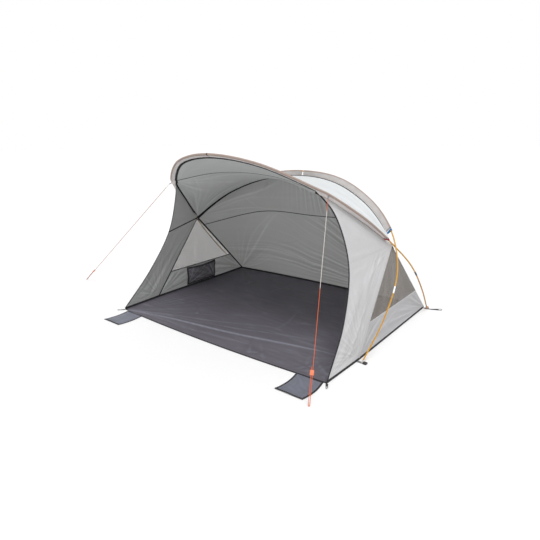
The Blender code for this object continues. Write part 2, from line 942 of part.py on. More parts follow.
def sleeve_frames(pole, seam_points, start, end):
    """Sections of a sleeve: its centre, the direction to the seam, the direction square to it, the reach."""
    centres = stretch(pole, start, end)
    places = along(pole)
    sections = []
    runs = np.gradient(centres, axis=0)
    for centre, run in zip(centres, runs):
        distance = nearest_distance(pole, centre)
        seam_place = interpolated(distance, places, seam_points)
        reach = seam_place - centre
        sections.append((centre, unit(reach), unit(np.cross(run, reach)), np.linalg.norm(reach)))
    return sections


def nearest_distance(line, place):
    """The distance along a line of the point on it that is nearest to a place."""
    places = along(line)
    best = None
    for index in range(len(line) - 1):
        run = line[index + 1] - line[index]
        share = np.clip(np.dot(place - line[index], run) / np.dot(run, run), 0, 1)
        miss = np.linalg.norm(line[index] + share * run - place)
        if best is None or miss < best[0]:
            best = (miss, places[index] + share * (places[index + 1] - places[index]))
    return best[1]


def sleeve_mesh(name, sections):
    """A cloth tube round the pole with a flat band to the seam, lofted from section to section."""
    sides = 10
    inside = pole_radius + sleeve_ease
    outside = inside + sleeve_cloth
    half_band = sleeve_band_thickness / 2
    half_edge = sleeve_band_edge / 2
    neck = math.asin(half_band / outside)
    around = np.linspace(neck, 2 * math.pi - neck, sides - 2)
    body = bmesh.new()
    rings = []
    for centre, reach, side, length in sections:
        band_end = length - seam_allowance - sleeve_seat
        outer = [centre + reach * band_end + side * half for half in (-half_edge, half_edge)]
        outer += [centre + outside * (math.cos(a) * reach + math.sin(a) * side) for a in around]
        inner_angles = [-neck / 3, neck / 3, *around]
        inner = [centre + inside * (math.cos(a) * reach + math.sin(a) * side) for a in inner_angles]
        rings.append([[body.verts.new(point) for point in ring] for ring in (outer, inner)])
    count = sides
    for first, second in zip(rings, rings[1:]):
        for near, far in zip(first, second):
            for index in range(count):
                after = (index + 1) % count
                body.faces.new((near[index], near[after], far[after], far[index]))
    for outer, inner in (rings[0], rings[-1]):
        for index in range(count):
            after = (index + 1) % count
            body.faces.new((outer[index], outer[after], inner[after], inner[index]))
    face_out(body)
    mesh = bpy.data.meshes.new(name)
    body.to_mesh(mesh)
    body.free()
    mesh.shade_smooth()
    mesh.set_sharp_from_angle(angle=math.radians(40))
    return mesh


def mirrored_copy(name, piece, home):
    """A piece's mirror image on the left side, as a mesh of its own."""
    mesh = piece.data.copy()
    mesh.transform(Matrix.Scale(-1, 4, Vector((1, 0, 0))))
    mesh.flip_normals()
    copy = bpy.data.objects.new(name, mesh)
    home[0].objects.link(copy)
    copy.parent = home[1]
    copy.location = piece.location * Vector((-1, 1, 1))
    return copy


def sleeves(home):
    """Each sleeve in two halves, split at the apex, with its coloured webbing end."""
    for label, pole, seam_half, end_row, webbing in (
        ("front", front_half, front_seam_half, front_arch_end - 1, red_webbing()),
        ("rear", rear_half, rear_seam_half, rear_arch_end - 2, blue_webbing()),
    ):
        arch = pole[:len(seam_half)]
        end = along(arch)[end_row] - tab_width - gap
        for part, start, stop, surface in (
            ("sleeve", sleeve_split / 2, end, sleeve_cloth_material()),
            ("tab", end + gap, end + gap + tab_width, webbing),
        ):
            sections = sleeve_frames(arch, seam_half, start, stop)
            name = f"{label}_{part}_right"
            right = finish_object(name, sleeve_mesh(name, sections), surface, *home)
            mirrored_copy(f"{label}_{part}_left", right, home)


def tube(name, line, outer_radius, bore_radius, surface, home):
    """A tube along a line: a bevelled curve with open ends, with a wall from Solidify."""
    curve = bpy.data.curves.new(name, "CURVE")
    curve.dimensions = "3D"
    curve.bevel_depth = outer_radius
    curve.bevel_resolution = 2
    curve.use_fill_caps = False
    spline = curve.splines.new("POLY")
    spline.points.add(len(line) - 1)
    for point, place in zip(spline.points, line):
        point.co = (*place, 1.0)
    guide = bpy.data.objects.new(f"{name}_guide", curve)
    home[0].objects.link(guide)
    graph = bpy.context.evaluated_depsgraph_get()
    mesh = bpy.data.meshes.new_from_object(guide.evaluated_get(graph))
    bpy.data.objects.remove(guide, do_unlink=True)
    mesh.name = name
    mesh.materials.clear()
    mesh.shade_smooth()
    piece = finish_object(name, mesh, surface, *home)
    wall = piece.modifiers.new("wall", "SOLIDIFY")
    wall.thickness = outer_radius - bore_radius
    wall.offset = -1.0
    return piece


def cord(name, line, radius, surface, home, resolution=2):
    """A solid cord or rod along a line."""
    curve = bpy.data.curves.new(name, "CURVE")
    curve.dimensions = "3D"
    curve.bevel_depth = radius
    curve.bevel_resolution = resolution
    curve.use_fill_caps = True
    spline = curve.splines.new("POLY")
    spline.points.add(len(line) - 1)
    for point, place in zip(spline.points, line):
        point.co = (*place, 1.0)
    spline.use_smooth = True
    return finish_object(name, curve, surface, *home)


def pin(name, foot, direction, home):
    """The turned end pin of a pole: a plug in the bore, a shoulder under the pole's end and a spike."""
    pin_end = pin_shoulder_length + pin_spike_length
    profile = (
        (0.0, pin_plug_length),
        (pin_plug_radius, pin_plug_length),
        (pin_plug_radius, 0.0),
        (pin_shoulder_radius, 0.0),
        (pin_shoulder_radius, -pin_shoulder_length + gap),
        (pin_spike_radius, -pin_shoulder_length),
        (pin_spike_radius, -pin_end + pin_spike_radius),
        (0.0, -pin_end),
    )
    mesh = bpy.data.meshes.new(name)
    edges = [(index, index + 1) for index in range(len(profile) - 1)]
    mesh.from_pydata([(radius, 0.0, height) for radius, height in profile], edges, [])
    piece = finish_object(name, mesh, steel(), *home)
    turn = piece.modifiers.new("turn", "SCREW")
    turn.steps = round_sides
    turn.render_steps = round_sides
    turn.use_merge_vertices = True
    turn.merge_threshold = 0.0001
    turn.use_smooth_shade = True
    upward = Vector(-direction)
    piece.location = Vector(foot + direction * gap)
    piece.rotation_mode = "QUATERNION"
    piece.rotation_quaternion = upward.to_track_quat("Z", "Y")
    return piece


def poles(home):
    """Each pole as an arch and two leg sections, with the ferrules, the shock cord and the end pins."""
    left = np.array([-1, 1, 1])
    for label, half, section_length in (
        ("front", front_half, front_section_length),
        ("rear", rear_half, rear_section_length),
    ):
        length = along(half)[-1]
        joint = length - section_length
        arch_half = stretch(half, 0.0, joint - gap / 2)
        tube(f"{label}_pole_arch", both_sides(arch_half), pole_radius, pole_bore_radius, fibreglass(), home)
        leg_line = stretch(half, joint + gap / 2, length)
        ferrule_line = stretch(half, joint - ferrule_length / 2, joint + ferrule_length / 2)
        bore = pole_radius + gap
        direction = unit(half[-1] - half[-2])
        for side, turn in (("right", 1), ("left", left)):
            leg_name = f"{label}_pole_leg_{side}"
            tube(leg_name, leg_line * turn, pole_radius, pole_bore_radius, fibreglass(), home)
            tube(
                f"{label}_ferrule_{side}",
                ferrule_line * turn,
                bore + ferrule_wall,
                bore,
                steel(),
                home,
            )
            pin(f"{label}_pole_pin_{side}", half[-1] * turn, direction * turn, home)
        cord_half = stretch(half, 0.0, length - pin_plug_length - gap)
        cord(
            f"{label}_shock_cord", both_sides(cord_half), shock_cord_radius, elastic(), home, resolution=1
        )


def flat_piece(name, curve, thickness, surface, home):
    """A 2D curve filled and extruded into a plate, half of it below its own z = 0."""
    curve.fill_mode = "BOTH"
    curve.extrude = thickness / 2
    return finish_object(name, curve, surface, *home)


def add_loop(curve, points):
    spline = curve.splines.new("POLY")
    spline.points.add(len(points) - 1)
    for point, (x, y) in zip(spline.points, points):
        point.co = (x, y, 0.0, 1.0)
    spline.use_cyclic_u = True


def rounded_box(length, width, radius, quarter_steps=3):
    """A rounded rectangle that starts at x = 0 and is centred on y = 0."""
    points = []
    for x, y, start in (
        (length - radius, width / 2 - radius, 0),
        (radius, width / 2 - radius, 90),
        (radius, -width / 2 + radius, 180),
        (length - radius, -width / 2 + radius, 270),
    ):
        for step in range(quarter_steps + 1):
            angle = math.radians(start + 90 * step / quarter_steps)
            points.append((x + radius * math.cos(angle), y + radius * math.sin(angle)))
    return points


def circle(x, y, radius):
    turns = [2 * math.pi * step / round_sides for step in range(round_sides)]
    return [(x + radius * math.cos(turn), y + radius * math.sin(turn)) for turn in turns]


def outline_curve(name, loops):
    curve = bpy.data.curves.new(name, "CURVE")
    curve.dimensions = "2D"
    for loop in loops:
        add_loop(curve, loop)
    return curve


def strap(name, start, direction, length, hole_at, home):
    """A webbing strap that lies on the ground from the hem outward, with a hole for the pole's pin."""
    curve = outline_curve(
        name,
        [
            rounded_box(length, strap_width, strap_width / 8),
            circle(hole_at, 0.0, strap_hole_radius),
        ],
    )
    piece = flat_piece(name, curve, strap_thickness, grey_webbing(), home)
    piece.location = (*start[:2], strap_lift + strap_thickness / 2)
    piece.rotation_euler = (0.0, 0.0, math.atan2(direction[1], direction[0]))
    return piece


def loop_piece(name, start, direction, length, home):
    """A peg loop that lies flat, with its origin on the axis that it lifts about: its top inner edge."""
    width = peg_loop_width
    radius = peg_loop_hole_radius
    slot_end = length - width / 2
    slot_start = slot_end - width
    half_round = [math.radians(90 - 180 * step / 6) for step in range(7)]
    slot = [(slot_end + radius * math.cos(a), radius * math.sin(a)) for a in half_round]
    slot += [(slot_start - radius * math.cos(a), radius * math.sin(a)) for a in half_round[::-1]]
    body = [(0.0, width / 2), (0.0, -width / 2)]
    body += [(slot_end + width / 2 * math.cos(a), width / 2 * math.sin(a)) for a in half_round[::-1]]
    curve = outline_curve(name, [body, slot])
    piece = flat_piece(name, curve, strap_thickness, grey_webbing(), home)
    graph = bpy.context.evaluated_depsgraph_get()
    mesh = bpy.data.meshes.new_from_object(piece.evaluated_get(graph))
    mesh.transform(Matrix.Translation((0.0, 0.0, -strap_thickness / 2)))
    bpy.data.objects.remove(piece, do_unlink=True)
    weld(mesh)
    hinged = finish_object(name, mesh, grey_webbing(), *home)
    hinged.location = (*start[:2], strap_lift + strap_thickness)
    hinged.rotation_euler = (0.0, 0.0, math.atan2(direction[1], direction[0]))
    return hinged


def weld(mesh):
    """Joins the doubled points of a converted curve."""
    body = bmesh.new()
    body.from_mesh(mesh)
    bmesh.ops.remove_doubles(body, verts=body.verts, dist=0.00001)
    body.to_mesh(mesh)
    body.free()
    mesh.materials.clear()


def strap_place(pole, wall_start, wall_end):
    """Where a strap starts on the wall, its direction square to the wall, and how far out its hole is."""
    run = unit(wall_end - wall_start)
    direction = np.array([run[1], -run[0], 0.0])
    last = unit(pole[-1] - pole[-2])
    middle_height = strap_lift + strap_thickness / 2
    pin_place = pole[-1] + last * (pole[-1][2] - middle_height) / -last[2]
    out = np.dot(pin_place - wall_start, direction) - cloth_thickness - gap
    return pin_place - direction * out, direction, out


def straps_and_loops(home):
    """The straps that hold the four pole pins, and the four corner peg loops."""
    left = np.array([-1, 1, 1])
    rear_start, rear_direction, rear_hole = strap_place(front_half, side_foot, rear_corner)
    side_start, side_run, side_hole = strap_place(rear_half, front_corner, side_foot)
    front_direction = unit(front_loop_direction_shares)
    front_start = front_corner + outline_outs[0] + front_direction * gap
    loop_direction = unit(rear_loop_direction_shares)
    turned = np.linalg.norm(np.cross(rear_direction, loop_direction))
    loop_clear = gap + peg_loop_width / 2 * turned
    loop_start = rear_start + rear_direction * (rear_strap_length + loop_clear)
    for side, turn in (("right", 1), ("left", left)):
        strap(
            f"rear_foot_strap_{side}",
            rear_start * turn,
            rear_direction * turn,
            rear_strap_length,
            rear_hole,
            home,
        )
        strap(
            f"side_foot_strap_{side}",
            side_start * turn,
            side_run * turn,
            side_strap_length,
            side_hole,
            home,
        )
        loop_piece(
            f"rear_peg_loop_{side}", loop_start * turn, loop_direction * turn, rear_peg_loop_length, home
        )
        loop_piece(
            f"front_peg_loop_{side}", front_start * turn, front_direction * turn, front_peg_loop_length, home
        )


def sand_flaps(home):
    """The two flaps in front of the floor. Each lifts about its top rear edge, on the front hem."""
    half = floor_front_width / 2 - hem_ramp
    for side, sign, inner_edge in (("right", 1, right_flap_inner_edge), ("left", -1, left_flap_inner_edge)):
        middle = inner_edge + flap_width / 2
        bow = -front_edge_bow * (1 - ((inner_edge + flap_corner_radius) / half) ** 2)
        axis_depth = bow - cloth_thickness - gap
        points = rounded_box(flap_length, flap_width, flap_corner_radius)
        name = f"sand_flap_{side}"
        curve = outline_curve(name, [[(y, -x) for x, y in points]])
        plate = flat_piece(name, curve, front_hem_height, flap_cloth(), home)
        graph = bpy.context.evaluated_depsgraph_get()
        mesh = bpy.data.meshes.new_from_object(plate.evaluated_get(graph))
        mesh.transform(Matrix.Translation((0.0, 0.0, -front_hem_height / 2)))
        bpy.data.objects.remove(plate, do_unlink=True)
        weld(mesh)
        flap = finish_object(name, mesh, flap_cloth(), *home)
        flap.location = (sign * middle, axis_depth, front_hem_height)


def frame_matrix(place, x_axis, y_axis):
    """A matrix that puts a piece's own x and y along two square directions at a place."""
    z_axis = np.cross(x_axis, y_axis)
    matrix = Matrix.Identity(4)
    for column, axis in enumerate((x_axis, y_axis, z_axis, place)):
        for row in range(3):
            matrix[row][column] = axis[row]
    return matrix


def guy_line(side, peg_place, turn, home):
    """A guy line from its loop on the sleeve down to the peg and back through the runner to its end."""
    row = sum(front_arch_steps[:3])
    hold = front_half[row] * turn
    run = unit((front_half[row + 1] - front_half[row - 1]) * turn)
    peg = np.array([*peg_place, guy_radius + cord_lift])
    towards = unit(peg - hold)
    square = unit(towards - run * np.dot(towards, run))
    outside = pole_radius + sleeve_ease + sleeve_cloth
    loop_start = hold + square * (outside + gap)
    name = f"guy_loop_{side}"
    curve = outline_curve(
        name,
        [
            rounded_box(guy_loop_length, guy_loop_width, guy_loop_width / 4),
            circle(guy_loop_length - guy_loop_width / 2, 0.0, guy_loop_hole_radius),
        ],
    )
    loop = flat_piece(name, curve, strap_thickness, grey_webbing(), home)
    loop.matrix_local = frame_matrix(loop_start, square, run)
    lean = math.sqrt(1 - np.dot(towards, square) ** 2)
    top = loop_start + square * (guy_loop_length + guy_radius * lean + gap)
    down = unit(peg - top)
    aside = unit(np.cross(down, UP)) * np.sign(peg_place[0])
    turn_radius = guy_strand_gap / 2
    total = np.linalg.norm(peg - top) - turn_radius
    count = max(2, round(total / cord_step))
    line = [top + down * total * share for share in np.linspace(0, 1, count + 1)]
    centre = top + down * total + aside * turn_radius
    bend_steps = 6
    for step in range(1, bend_steps + 1):
        angle = math.pi * step / bend_steps
        line.append(centre - aside * turn_radius * math.cos(angle) + down * turn_radius * math.sin(angle))
    back = runner_from_peg + runner_length + guy_tail_length
    for share in np.linspace(0, 1, 4)[1:]:
        line.append(centre + aside * turn_radius - down * back * share)
    cord(f"guy_line_{side}", np.array(line), guy_radius, guy_cord(), home)
    name = f"guy_runner_{side}"
    hole = guy_radius + runner_hole_ease
    curve = outline_curve(
        name,
        [
            [(y, x) for x, y in rounded_box(runner_width, runner_thickness, runner_thickness / 4)],
            circle(0.0, runner_width / 2 - turn_radius, hole),
            circle(0.0, runner_width / 2 + turn_radius, hole),
        ],
    )
    runner = flat_piece(name, curve, runner_length, runner_plastic(), home)
    middle = top + down * (total - runner_from_peg - runner_length / 2) + aside * turn_radius
    corner = middle - aside * runner_width / 2
    runner.matrix_local = frame_matrix(corner, np.cross(aside, down), aside)


def footprint_middle(pieces):
    """How far back the middle of the tent's footprint lies, without the guy lines."""
    graph = bpy.context.evaluated_depsgraph_get()
    low = []
    high = []
    for piece in pieces:
        seen = piece.evaluated_get(graph)
        mesh = seen.to_mesh()
        depths = [(seen.matrix_world @ vert.co).y for vert in mesh.vertices]
        low.append(min(depths))
        high.append(max(depths))
        seen.to_mesh_clear()
    return (min(low) + max(high)) / 2


def build():
    home = start_scene()
    tent, origin = home
    groundsheet(home)
    roof(home)
    back_wall(home)
    side_panels(home)
    storage_pocket(home)
    sleeves(home)
    poles(home)
    straps_and_loops(home)
    sand_flaps(home)
    guy_line("right", right_peg_place, np.array([1, 1, 1]), home)
    guy_line("left", left_peg_place, np.array([-1, 1, 1]), home)
    bpy.context.view_layer.update()
    standing = [
        piece for piece in tent.objects if piece.type != "EMPTY" and not piece.name.startswith("guy_")
    ]
    origin.location.y = -footprint_middle(standing)
    bpy.context.view_layer.update()


build()
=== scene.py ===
# %% [markdown]
# # A beach tent
# This lesson dresses a half-dome beach tent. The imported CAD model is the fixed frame: it has the real sizes
# and the moving parts. Rigid pieces such as the poles keep their CAD shape and only get a finish. Everything
# sewn is made again here as thin cloth, with seams, bindings, stitches and creases.

import math

import bmesh
import bpy
import numpy as np
from mathutils import Matrix, Vector


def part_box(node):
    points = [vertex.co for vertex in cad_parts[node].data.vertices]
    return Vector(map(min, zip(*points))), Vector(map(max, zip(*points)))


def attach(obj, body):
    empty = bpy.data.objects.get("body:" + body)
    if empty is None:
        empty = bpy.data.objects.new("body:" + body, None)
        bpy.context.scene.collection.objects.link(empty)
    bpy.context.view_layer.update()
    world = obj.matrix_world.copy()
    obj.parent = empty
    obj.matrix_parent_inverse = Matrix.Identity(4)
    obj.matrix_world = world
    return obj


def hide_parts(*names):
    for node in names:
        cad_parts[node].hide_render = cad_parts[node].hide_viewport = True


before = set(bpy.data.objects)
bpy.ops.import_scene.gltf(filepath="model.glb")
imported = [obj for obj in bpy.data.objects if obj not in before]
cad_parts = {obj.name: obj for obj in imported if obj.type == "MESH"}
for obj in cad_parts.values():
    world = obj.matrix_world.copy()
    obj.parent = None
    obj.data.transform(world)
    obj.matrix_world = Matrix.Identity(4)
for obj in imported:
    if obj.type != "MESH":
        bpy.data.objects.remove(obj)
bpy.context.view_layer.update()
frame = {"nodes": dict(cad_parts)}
nodes = frame["nodes"]

# %% [markdown]
# The floor was drawn with its door at y = 0, and then the whole tent was moved so that its footprint is
# centred. All lines below are drawn with the door at 0 again, and moved by the same amount at the end. The
# front hem bows out by 33 mm and is 2 mm thick, so the floor's box gives the amount.

# %% Where the door is
front_edge_bow = 0.033
hem_cloth = 0.002
door_to_middle = -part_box("groundsheet")[0].y - front_edge_bow - hem_cloth
to_frame = np.array([0.0, -door_to_middle, 0.0])
print("the door is", round(door_to_middle, 4), "m in front of the middle")

# %% [markdown]
# ## Camera
# The photograph was fitted with a pinhole camera: 38 degrees round to the right, 17 degrees above the
# ground, and half a degree of roll. The lens follows from the frame of 540 pixels.

# %% Camera
image_size = 540
focal_pixels = 444.904
sensor_width = 36.0
azimuth = 0.662013
elevation = 0.289074
roll = -0.009131
camera_distance = 3.5943
look_at = np.array([0.11526, 0.615, 0.41479]) + to_frame

back = np.array([
    math.sin(azimuth) * math.cos(elevation),
    -math.cos(azimuth) * math.cos(elevation),
    math.sin(elevation),
])
right = np.array([math.cos(azimuth), math.sin(azimuth), 0.0])
above = np.cross(back, right)
right_rolled = math.cos(roll) * right + math.sin(roll) * above
above_rolled = -math.sin(roll) * right + math.cos(roll) * above
camera_data = bpy.data.cameras.new("photo_camera")
camera_data.sensor_width = sensor_width
camera_data.lens = focal_pixels / image_size * sensor_width
camera_data.clip_start = 0.05
camera = bpy.data.objects.new("photo_camera", camera_data)
bpy.context.scene.collection.objects.link(camera)
turn = Matrix([right_rolled, above_rolled, back]).transposed().to_4x4()
camera.matrix_world = Matrix.Translation(look_at + back * camera_distance) @ turn
bpy.context.scene.camera = camera
print("lens", round(camera_data.lens, 2), "mm, camera", [round(value, 3) for value in camera.location])

# %% [markdown]
# ## Shader maths
# A finish is easier to read when its sums look like sums. This class wraps the output of a node. Adding or
# multiplying two of them, or one of them and a number, adds the Math node that does it.

# %% A socket that can be used in sums
class Amount:
    def __init__(self, tree, socket):
        self.tree = tree
        self.socket = socket

    def math_node(self, operation, first, second=None):
        node = self.tree.nodes.new("ShaderNodeMath")
        node.operation = operation
        for socket, value in zip(node.inputs, (first, second)):
            if isinstance(value, Amount):
                self.tree.links.new(value.socket, socket)
            elif value is not None:
                socket.default_value = value
        return Amount(self.tree, node.outputs[0])

    def __add__(self, other):
        return self.math_node("ADD", self, other)

    def __radd__(self, other):
        return self.math_node("ADD", other, self)

    def __sub__(self, other):
        return self.math_node("SUBTRACT", self, other)

    def __rsub__(self, other):
        return self.math_node("SUBTRACT", other, self)

    def __mul__(self, other):
        return self.math_node("MULTIPLY", self, other)

    def at_least(self, other):
        return self.math_node("MAXIMUM", self, other)

    def sine(self):
        return self.math_node("SINE", self)

    def step(self, low, high):
        """0 below low, 1 above high, and smooth between them."""
        node = self.tree.nodes.new("ShaderNodeMapRange")
        node.interpolation_type = "SMOOTHSTEP"
        self.tree.links.new(self.socket, node.inputs["Value"])
        node.inputs["From Min"].default_value = low
        node.inputs["From Max"].default_value = high
        return Amount(self.tree, node.outputs["Result"])


# %% [markdown]
# A finish is one material with a Principled shader. Its `node` method adds any other node: first its
# settings, then the values or links of its sockets. The shorter methods are the patterns that cloth needs:
# soft noise, crumpled facets and the threads of a weave, all measured in metres.

# %% A finish
class Finish:
    def __init__(self, name, roughness=0.8, **constants):
        self.material = bpy.data.materials.new(name)
        self.material.use_nodes = True
        self.tree = self.material.node_tree
        self.shader = self.tree.nodes["Principled BSDF"]
        self.set("Roughness", roughness)
        for socket, value in constants.items():
            self.set(socket.replace("_", " "), value)

    def fill(self, socket, value):
        """Links a socket to another node's output, or gives it a plain value or colour."""
        if isinstance(value, Amount):
            self.tree.links.new(value.socket, socket)
        elif hasattr(value, "__len__") and socket.type == "RGBA":
            socket.default_value = (*value, 1.0)
        else:
            socket.default_value = value

    def set(self, name, value):
        self.fill(self.shader.inputs[name], value)

    def node(self, kind, settings=(), sockets=(), output=0):
        node = self.tree.nodes.new(kind)
        for name, value in dict(settings).items():
            setattr(node, name, value)
        for name, value in dict(sockets).items():
            self.fill(node.inputs[name], value)
        return Amount(self.tree, node.outputs[output])

    def place(self):
        return self.node("ShaderNodeTexCoord", output="Object")

    def chart(self):
        """The cloth's own flat coordinates, in metres."""
        return self.node("ShaderNodeTexCoord", output="UV")

    def parts(self, vector):
        x = self.node("ShaderNodeSeparateXYZ", sockets={"Vector": vector}, output="X")
        node = x.socket.node
        return x, Amount(self.tree, node.outputs["Y"]), Amount(self.tree, node.outputs["Z"])

    def noise(self, vector, size, detail=2.0, stretch=(1.0, 1.0, 1.0)):
        """Soft noise between 0 and 1 with features of about that size in metres."""
        scaled = self.node("ShaderNodeMapping", sockets={"Vector": vector, "Scale": stretch})
        sockets = {"Vector": scaled, "Scale": 1 / size, "Detail": detail}
        return self.node("ShaderNodeTexNoise", sockets=sockets, output="Fac")

    def facets(self, vector, size):
        """The distance from the nearest line of a crumpled sheet's creases."""
        settings = {"feature": "DISTANCE_TO_EDGE"}
        sockets = {"Vector": vector, "Scale": 1 / size}
        return self.node("ShaderNodeTexVoronoi", settings, sockets, output="Distance")

    def weave(self, vector, pitch):
        """Threads over and under each other, between 0 and 1."""
        x, y, _ = self.parts(vector)
        turns = 2 * math.pi / pitch
        return (x * turns).sine() * (y * turns).sine() * 0.5 + 0.5

    def shade(self, factor, dark, light):
        """One colour where the factor is 0, another where it is 1."""
        settings = {"data_type": "RGBA", "blend_type": "MIX"}
        sockets = {0: factor, 6: dark, 7: light}
        return self.node("ShaderNodeMix", settings, sockets, output=2)

    def bump(self, height, distance, strength=1.0):
        sockets = {"Height": height, "Distance": distance, "Strength": strength}
        self.set("Normal", self.node("ShaderNodeBump", sockets=sockets))

    def warped(self, vector, size, amount):
        """A place that is moved a little by noise, so that straight lines become crooked."""
        sockets = {"Vector": vector, "Scale": 1 / size, "Detail": 1.0}
        drift = self.node("ShaderNodeTexNoise", sockets=sockets, output="Color")
        middle, amounts, start = {1: (0.5, 0.5, 0.5)}, {"Scale": amount}, {1: vector}
        for operation, sockets in (("SUBTRACT", middle), ("SCALE", amounts), ("ADD", start)):
            drift = self.node("ShaderNodeVectorMath", {"operation": operation}, {0: drift, **sockets})
        return drift

    def let_light_through(self, share, color):
        """Mixes in a Translucent shader, which passes light on to the other side of thin cloth."""
        glow = self.node("ShaderNodeBsdfTranslucent", sockets={"Color": color})
        face = Amount(self.tree, self.shader.outputs[0])
        mixed = self.node("ShaderNodeMixShader", sockets={0: share, 1: face, 2: glow})
        self.tree.links.new(mixed.socket, self.tree.nodes["Material Output"].inputs["Surface"])


# %% [markdown]
# ## Cloth finishes
# The tent's shell is thin polyester. Outside it is pale grey and matt; the roof's outside is the same cloth,
# in a lighter and bluer copy that is painted light. Inside it has a silver-grey coating, which looks darker
# and slightly green because little light gets in. Both sides share the same creases: large soft ones from
# packing, small crumples, and the fine weave. The colour is painted lighter on the ridges of the folds, and
# darker in their valleys and along the lines of the small crumples: painted highlight and painted shade.

# %% Shell cloth, outside and inside
thread_pitch = 0.0012
thread_height = 0.00006


def with_fold_shading(cloth, color, ridge, valley, amount):
    """Painted highlight along the ridges of the cloth's own folds, and painted shade in their valleys."""
    fold = cloth.node("ShaderNodeAttribute", {"attribute_name": "fold"}, output="Fac")
    lighter = cloth.shade(fold.at_least(0.0) * amount, color, ridge)
    return cloth.shade((fold * -1).at_least(0.0) * amount, lighter, valley)


def shell_cloth(name, color, dark_tone, roughness, through, fold_shading):
    cloth = Finish(name, roughness)
    place = cloth.place()
    chart = cloth.chart()
    soft = cloth.noise(place, 0.30, 3.0)
    small = cloth.noise(place, 0.035, 2.0)
    crease = cloth.facets(cloth.warped(place, 0.05, 0.02), 0.11)
    fine = cloth.facets(cloth.warped(place, 0.02, 0.01), 0.035)
    threads = cloth.weave(chart, thread_pitch)
    # Painted shade: a little darker along the lines of the crumpled facets.
    crumple_shade = 1 - crease.step(0.0, 0.05)
    tone = soft * 0.7 + small * 0.2 + threads * 0.1 - crumple_shade * 0.06
    plain = cloth.shade(tone.step(0.25, 0.75), dark_tone, color)
    # Painted highlight on the ridges of the folds, and painted shade in their valleys.
    ridge = [min(0.9, value * 1.5) for value in color]
    valley = [value * 0.66 for value in dark_tone]
    cloth.set("Base Color", with_fold_shading(cloth, plain, ridge, valley, fold_shading))
    height = crease * 0.0016 + fine * 0.0009 + small * 0.0012
    cloth.bump(height + soft * 0.004 + threads * thread_height, 1.0, 0.8)
    cloth.let_light_through(through, (0.84, 0.84, 0.83))
    return cloth.material


shell_outside = shell_cloth("shell_outside", (0.67, 0.665, 0.68), (0.605, 0.605, 0.615), 0.62, 0.22, 0.35)
# The roof's outside is the same cloth as the walls, in a lighter, bluer copy: painted light.
lit_roof_outside = shell_cloth("lit_roof_outside", (0.83, 0.855, 0.868), (0.775, 0.805, 0.822), 0.55, 0.18, 0.25)
skirt_outside = shell_cloth("skirt_outside", (0.56, 0.557, 0.575), (0.50, 0.50, 0.515), 0.62, 0.22, 0.35)
shell_inside = shell_cloth("shell_inside", (0.414, 0.432, 0.424), (0.362, 0.379, 0.372), 0.55, 0.50, 0.95)
skirt_inside = shell_cloth("skirt_inside", (0.475, 0.492, 0.492), (0.415, 0.430, 0.432), 0.55, 0.50, 0.95)
print("made", shell_outside.name, lit_roof_outside.name, "and", shell_inside.name)

# %% [markdown]
# ## Lines
# Everything hangs on a few lines: two poles, their sleeves' seams, and the seams between the panels. Each is
# a smooth curve through a few places. A centripetal Catmull-Rom curve passes through every place and doesn't
# loop or overshoot, which a plain spline through uneven places would do.

# %% Smooth lines
up_axis = np.array([0.0, 0.0, 1.0])


def unit(vector):
    vector = np.asarray(vector, float)
    return vector / np.maximum(np.linalg.norm(vector, axis=-1, keepdims=True), 1e-12)


def mixed(first, second, start, end, t):
    """Between two places: the first at the start, the second at the end."""
    return (end - t) / (end - start) * first + (t - start) / (end - start) * second


def smooth_line(stations, steps):
    stations = [np.array(station, float) for station in stations]
    held = [2 * stations[0] - stations[1], *stations, 2 * stations[-1] - stations[-2]]
    points = []
    for index, count in enumerate(steps):
        p0, p1, p2, p3 = held[index:index + 4]
        t1 = np.linalg.norm(p1 - p0) ** 0.5
        t2 = t1 + np.linalg.norm(p2 - p1) ** 0.5
        t3 = t2 + np.linalg.norm(p3 - p2) ** 0.5
        for t in np.linspace(t1, t2, count, endpoint=False):
            a1, a2, a3 = mixed(p0, p1, 0, t1, t), mixed(p1, p2, t1, t2, t), mixed(p2, p3, t2, t3, t)
            b1, b2 = mixed(a1, a2, 0, t2, t), mixed(a2, a3, t1, t3, t)
            points.append(mixed(b1, b2, t1, t2, t))
    points.append(stations[-1])
    return np.array(points)


def mirrored_line(stations, steps):
    """The right half of a line that is the same on both sides, so that it is level at the middle."""
    stations = [np.array(station, float) for station in stations]
    line = smooth_line([stations[1] * (-1, 1, 1), *stations], (steps[0], *steps))
    return line[steps[0]:]


# %% Measuring along lines
to_left = np.array([-1.0, 1.0, 1.0])
sides = {"right": np.ones(3), "left": to_left}


def both_sides(half):
    return np.vstack([half[:0:-1] * to_left, half])


def straight(start, end, steps):
    share = np.linspace(0, 1, steps + 1)[:, None]
    return (1 - share) * np.asarray(start) + share * np.asarray(end)


def along(line):
    return np.concatenate([[0.0], np.cumsum(np.linalg.norm(np.diff(line, axis=0), axis=1))])


def interpolated(value, values, points):
    """Points that belong to a value or values, between points whose values are known."""
    return np.stack([np.interp(value, values, points[:, axis]) for axis in range(3)], axis=-1)


def resampled(line, step):
    """The same line with points at even distances."""
    places = along(line)
    count = max(2, int(round(places[-1] / step)))
    return interpolated(np.linspace(0, places[-1], count + 1), places, line)


# %% [markdown]
# The two poles cross at each side, the rear pole outside the front one. A pole's places are written as
# shares of its spread, its depth and its height. `fine` says how many steps a scene line takes for one step
# of the CAD line: the curve is the same, only smoother.

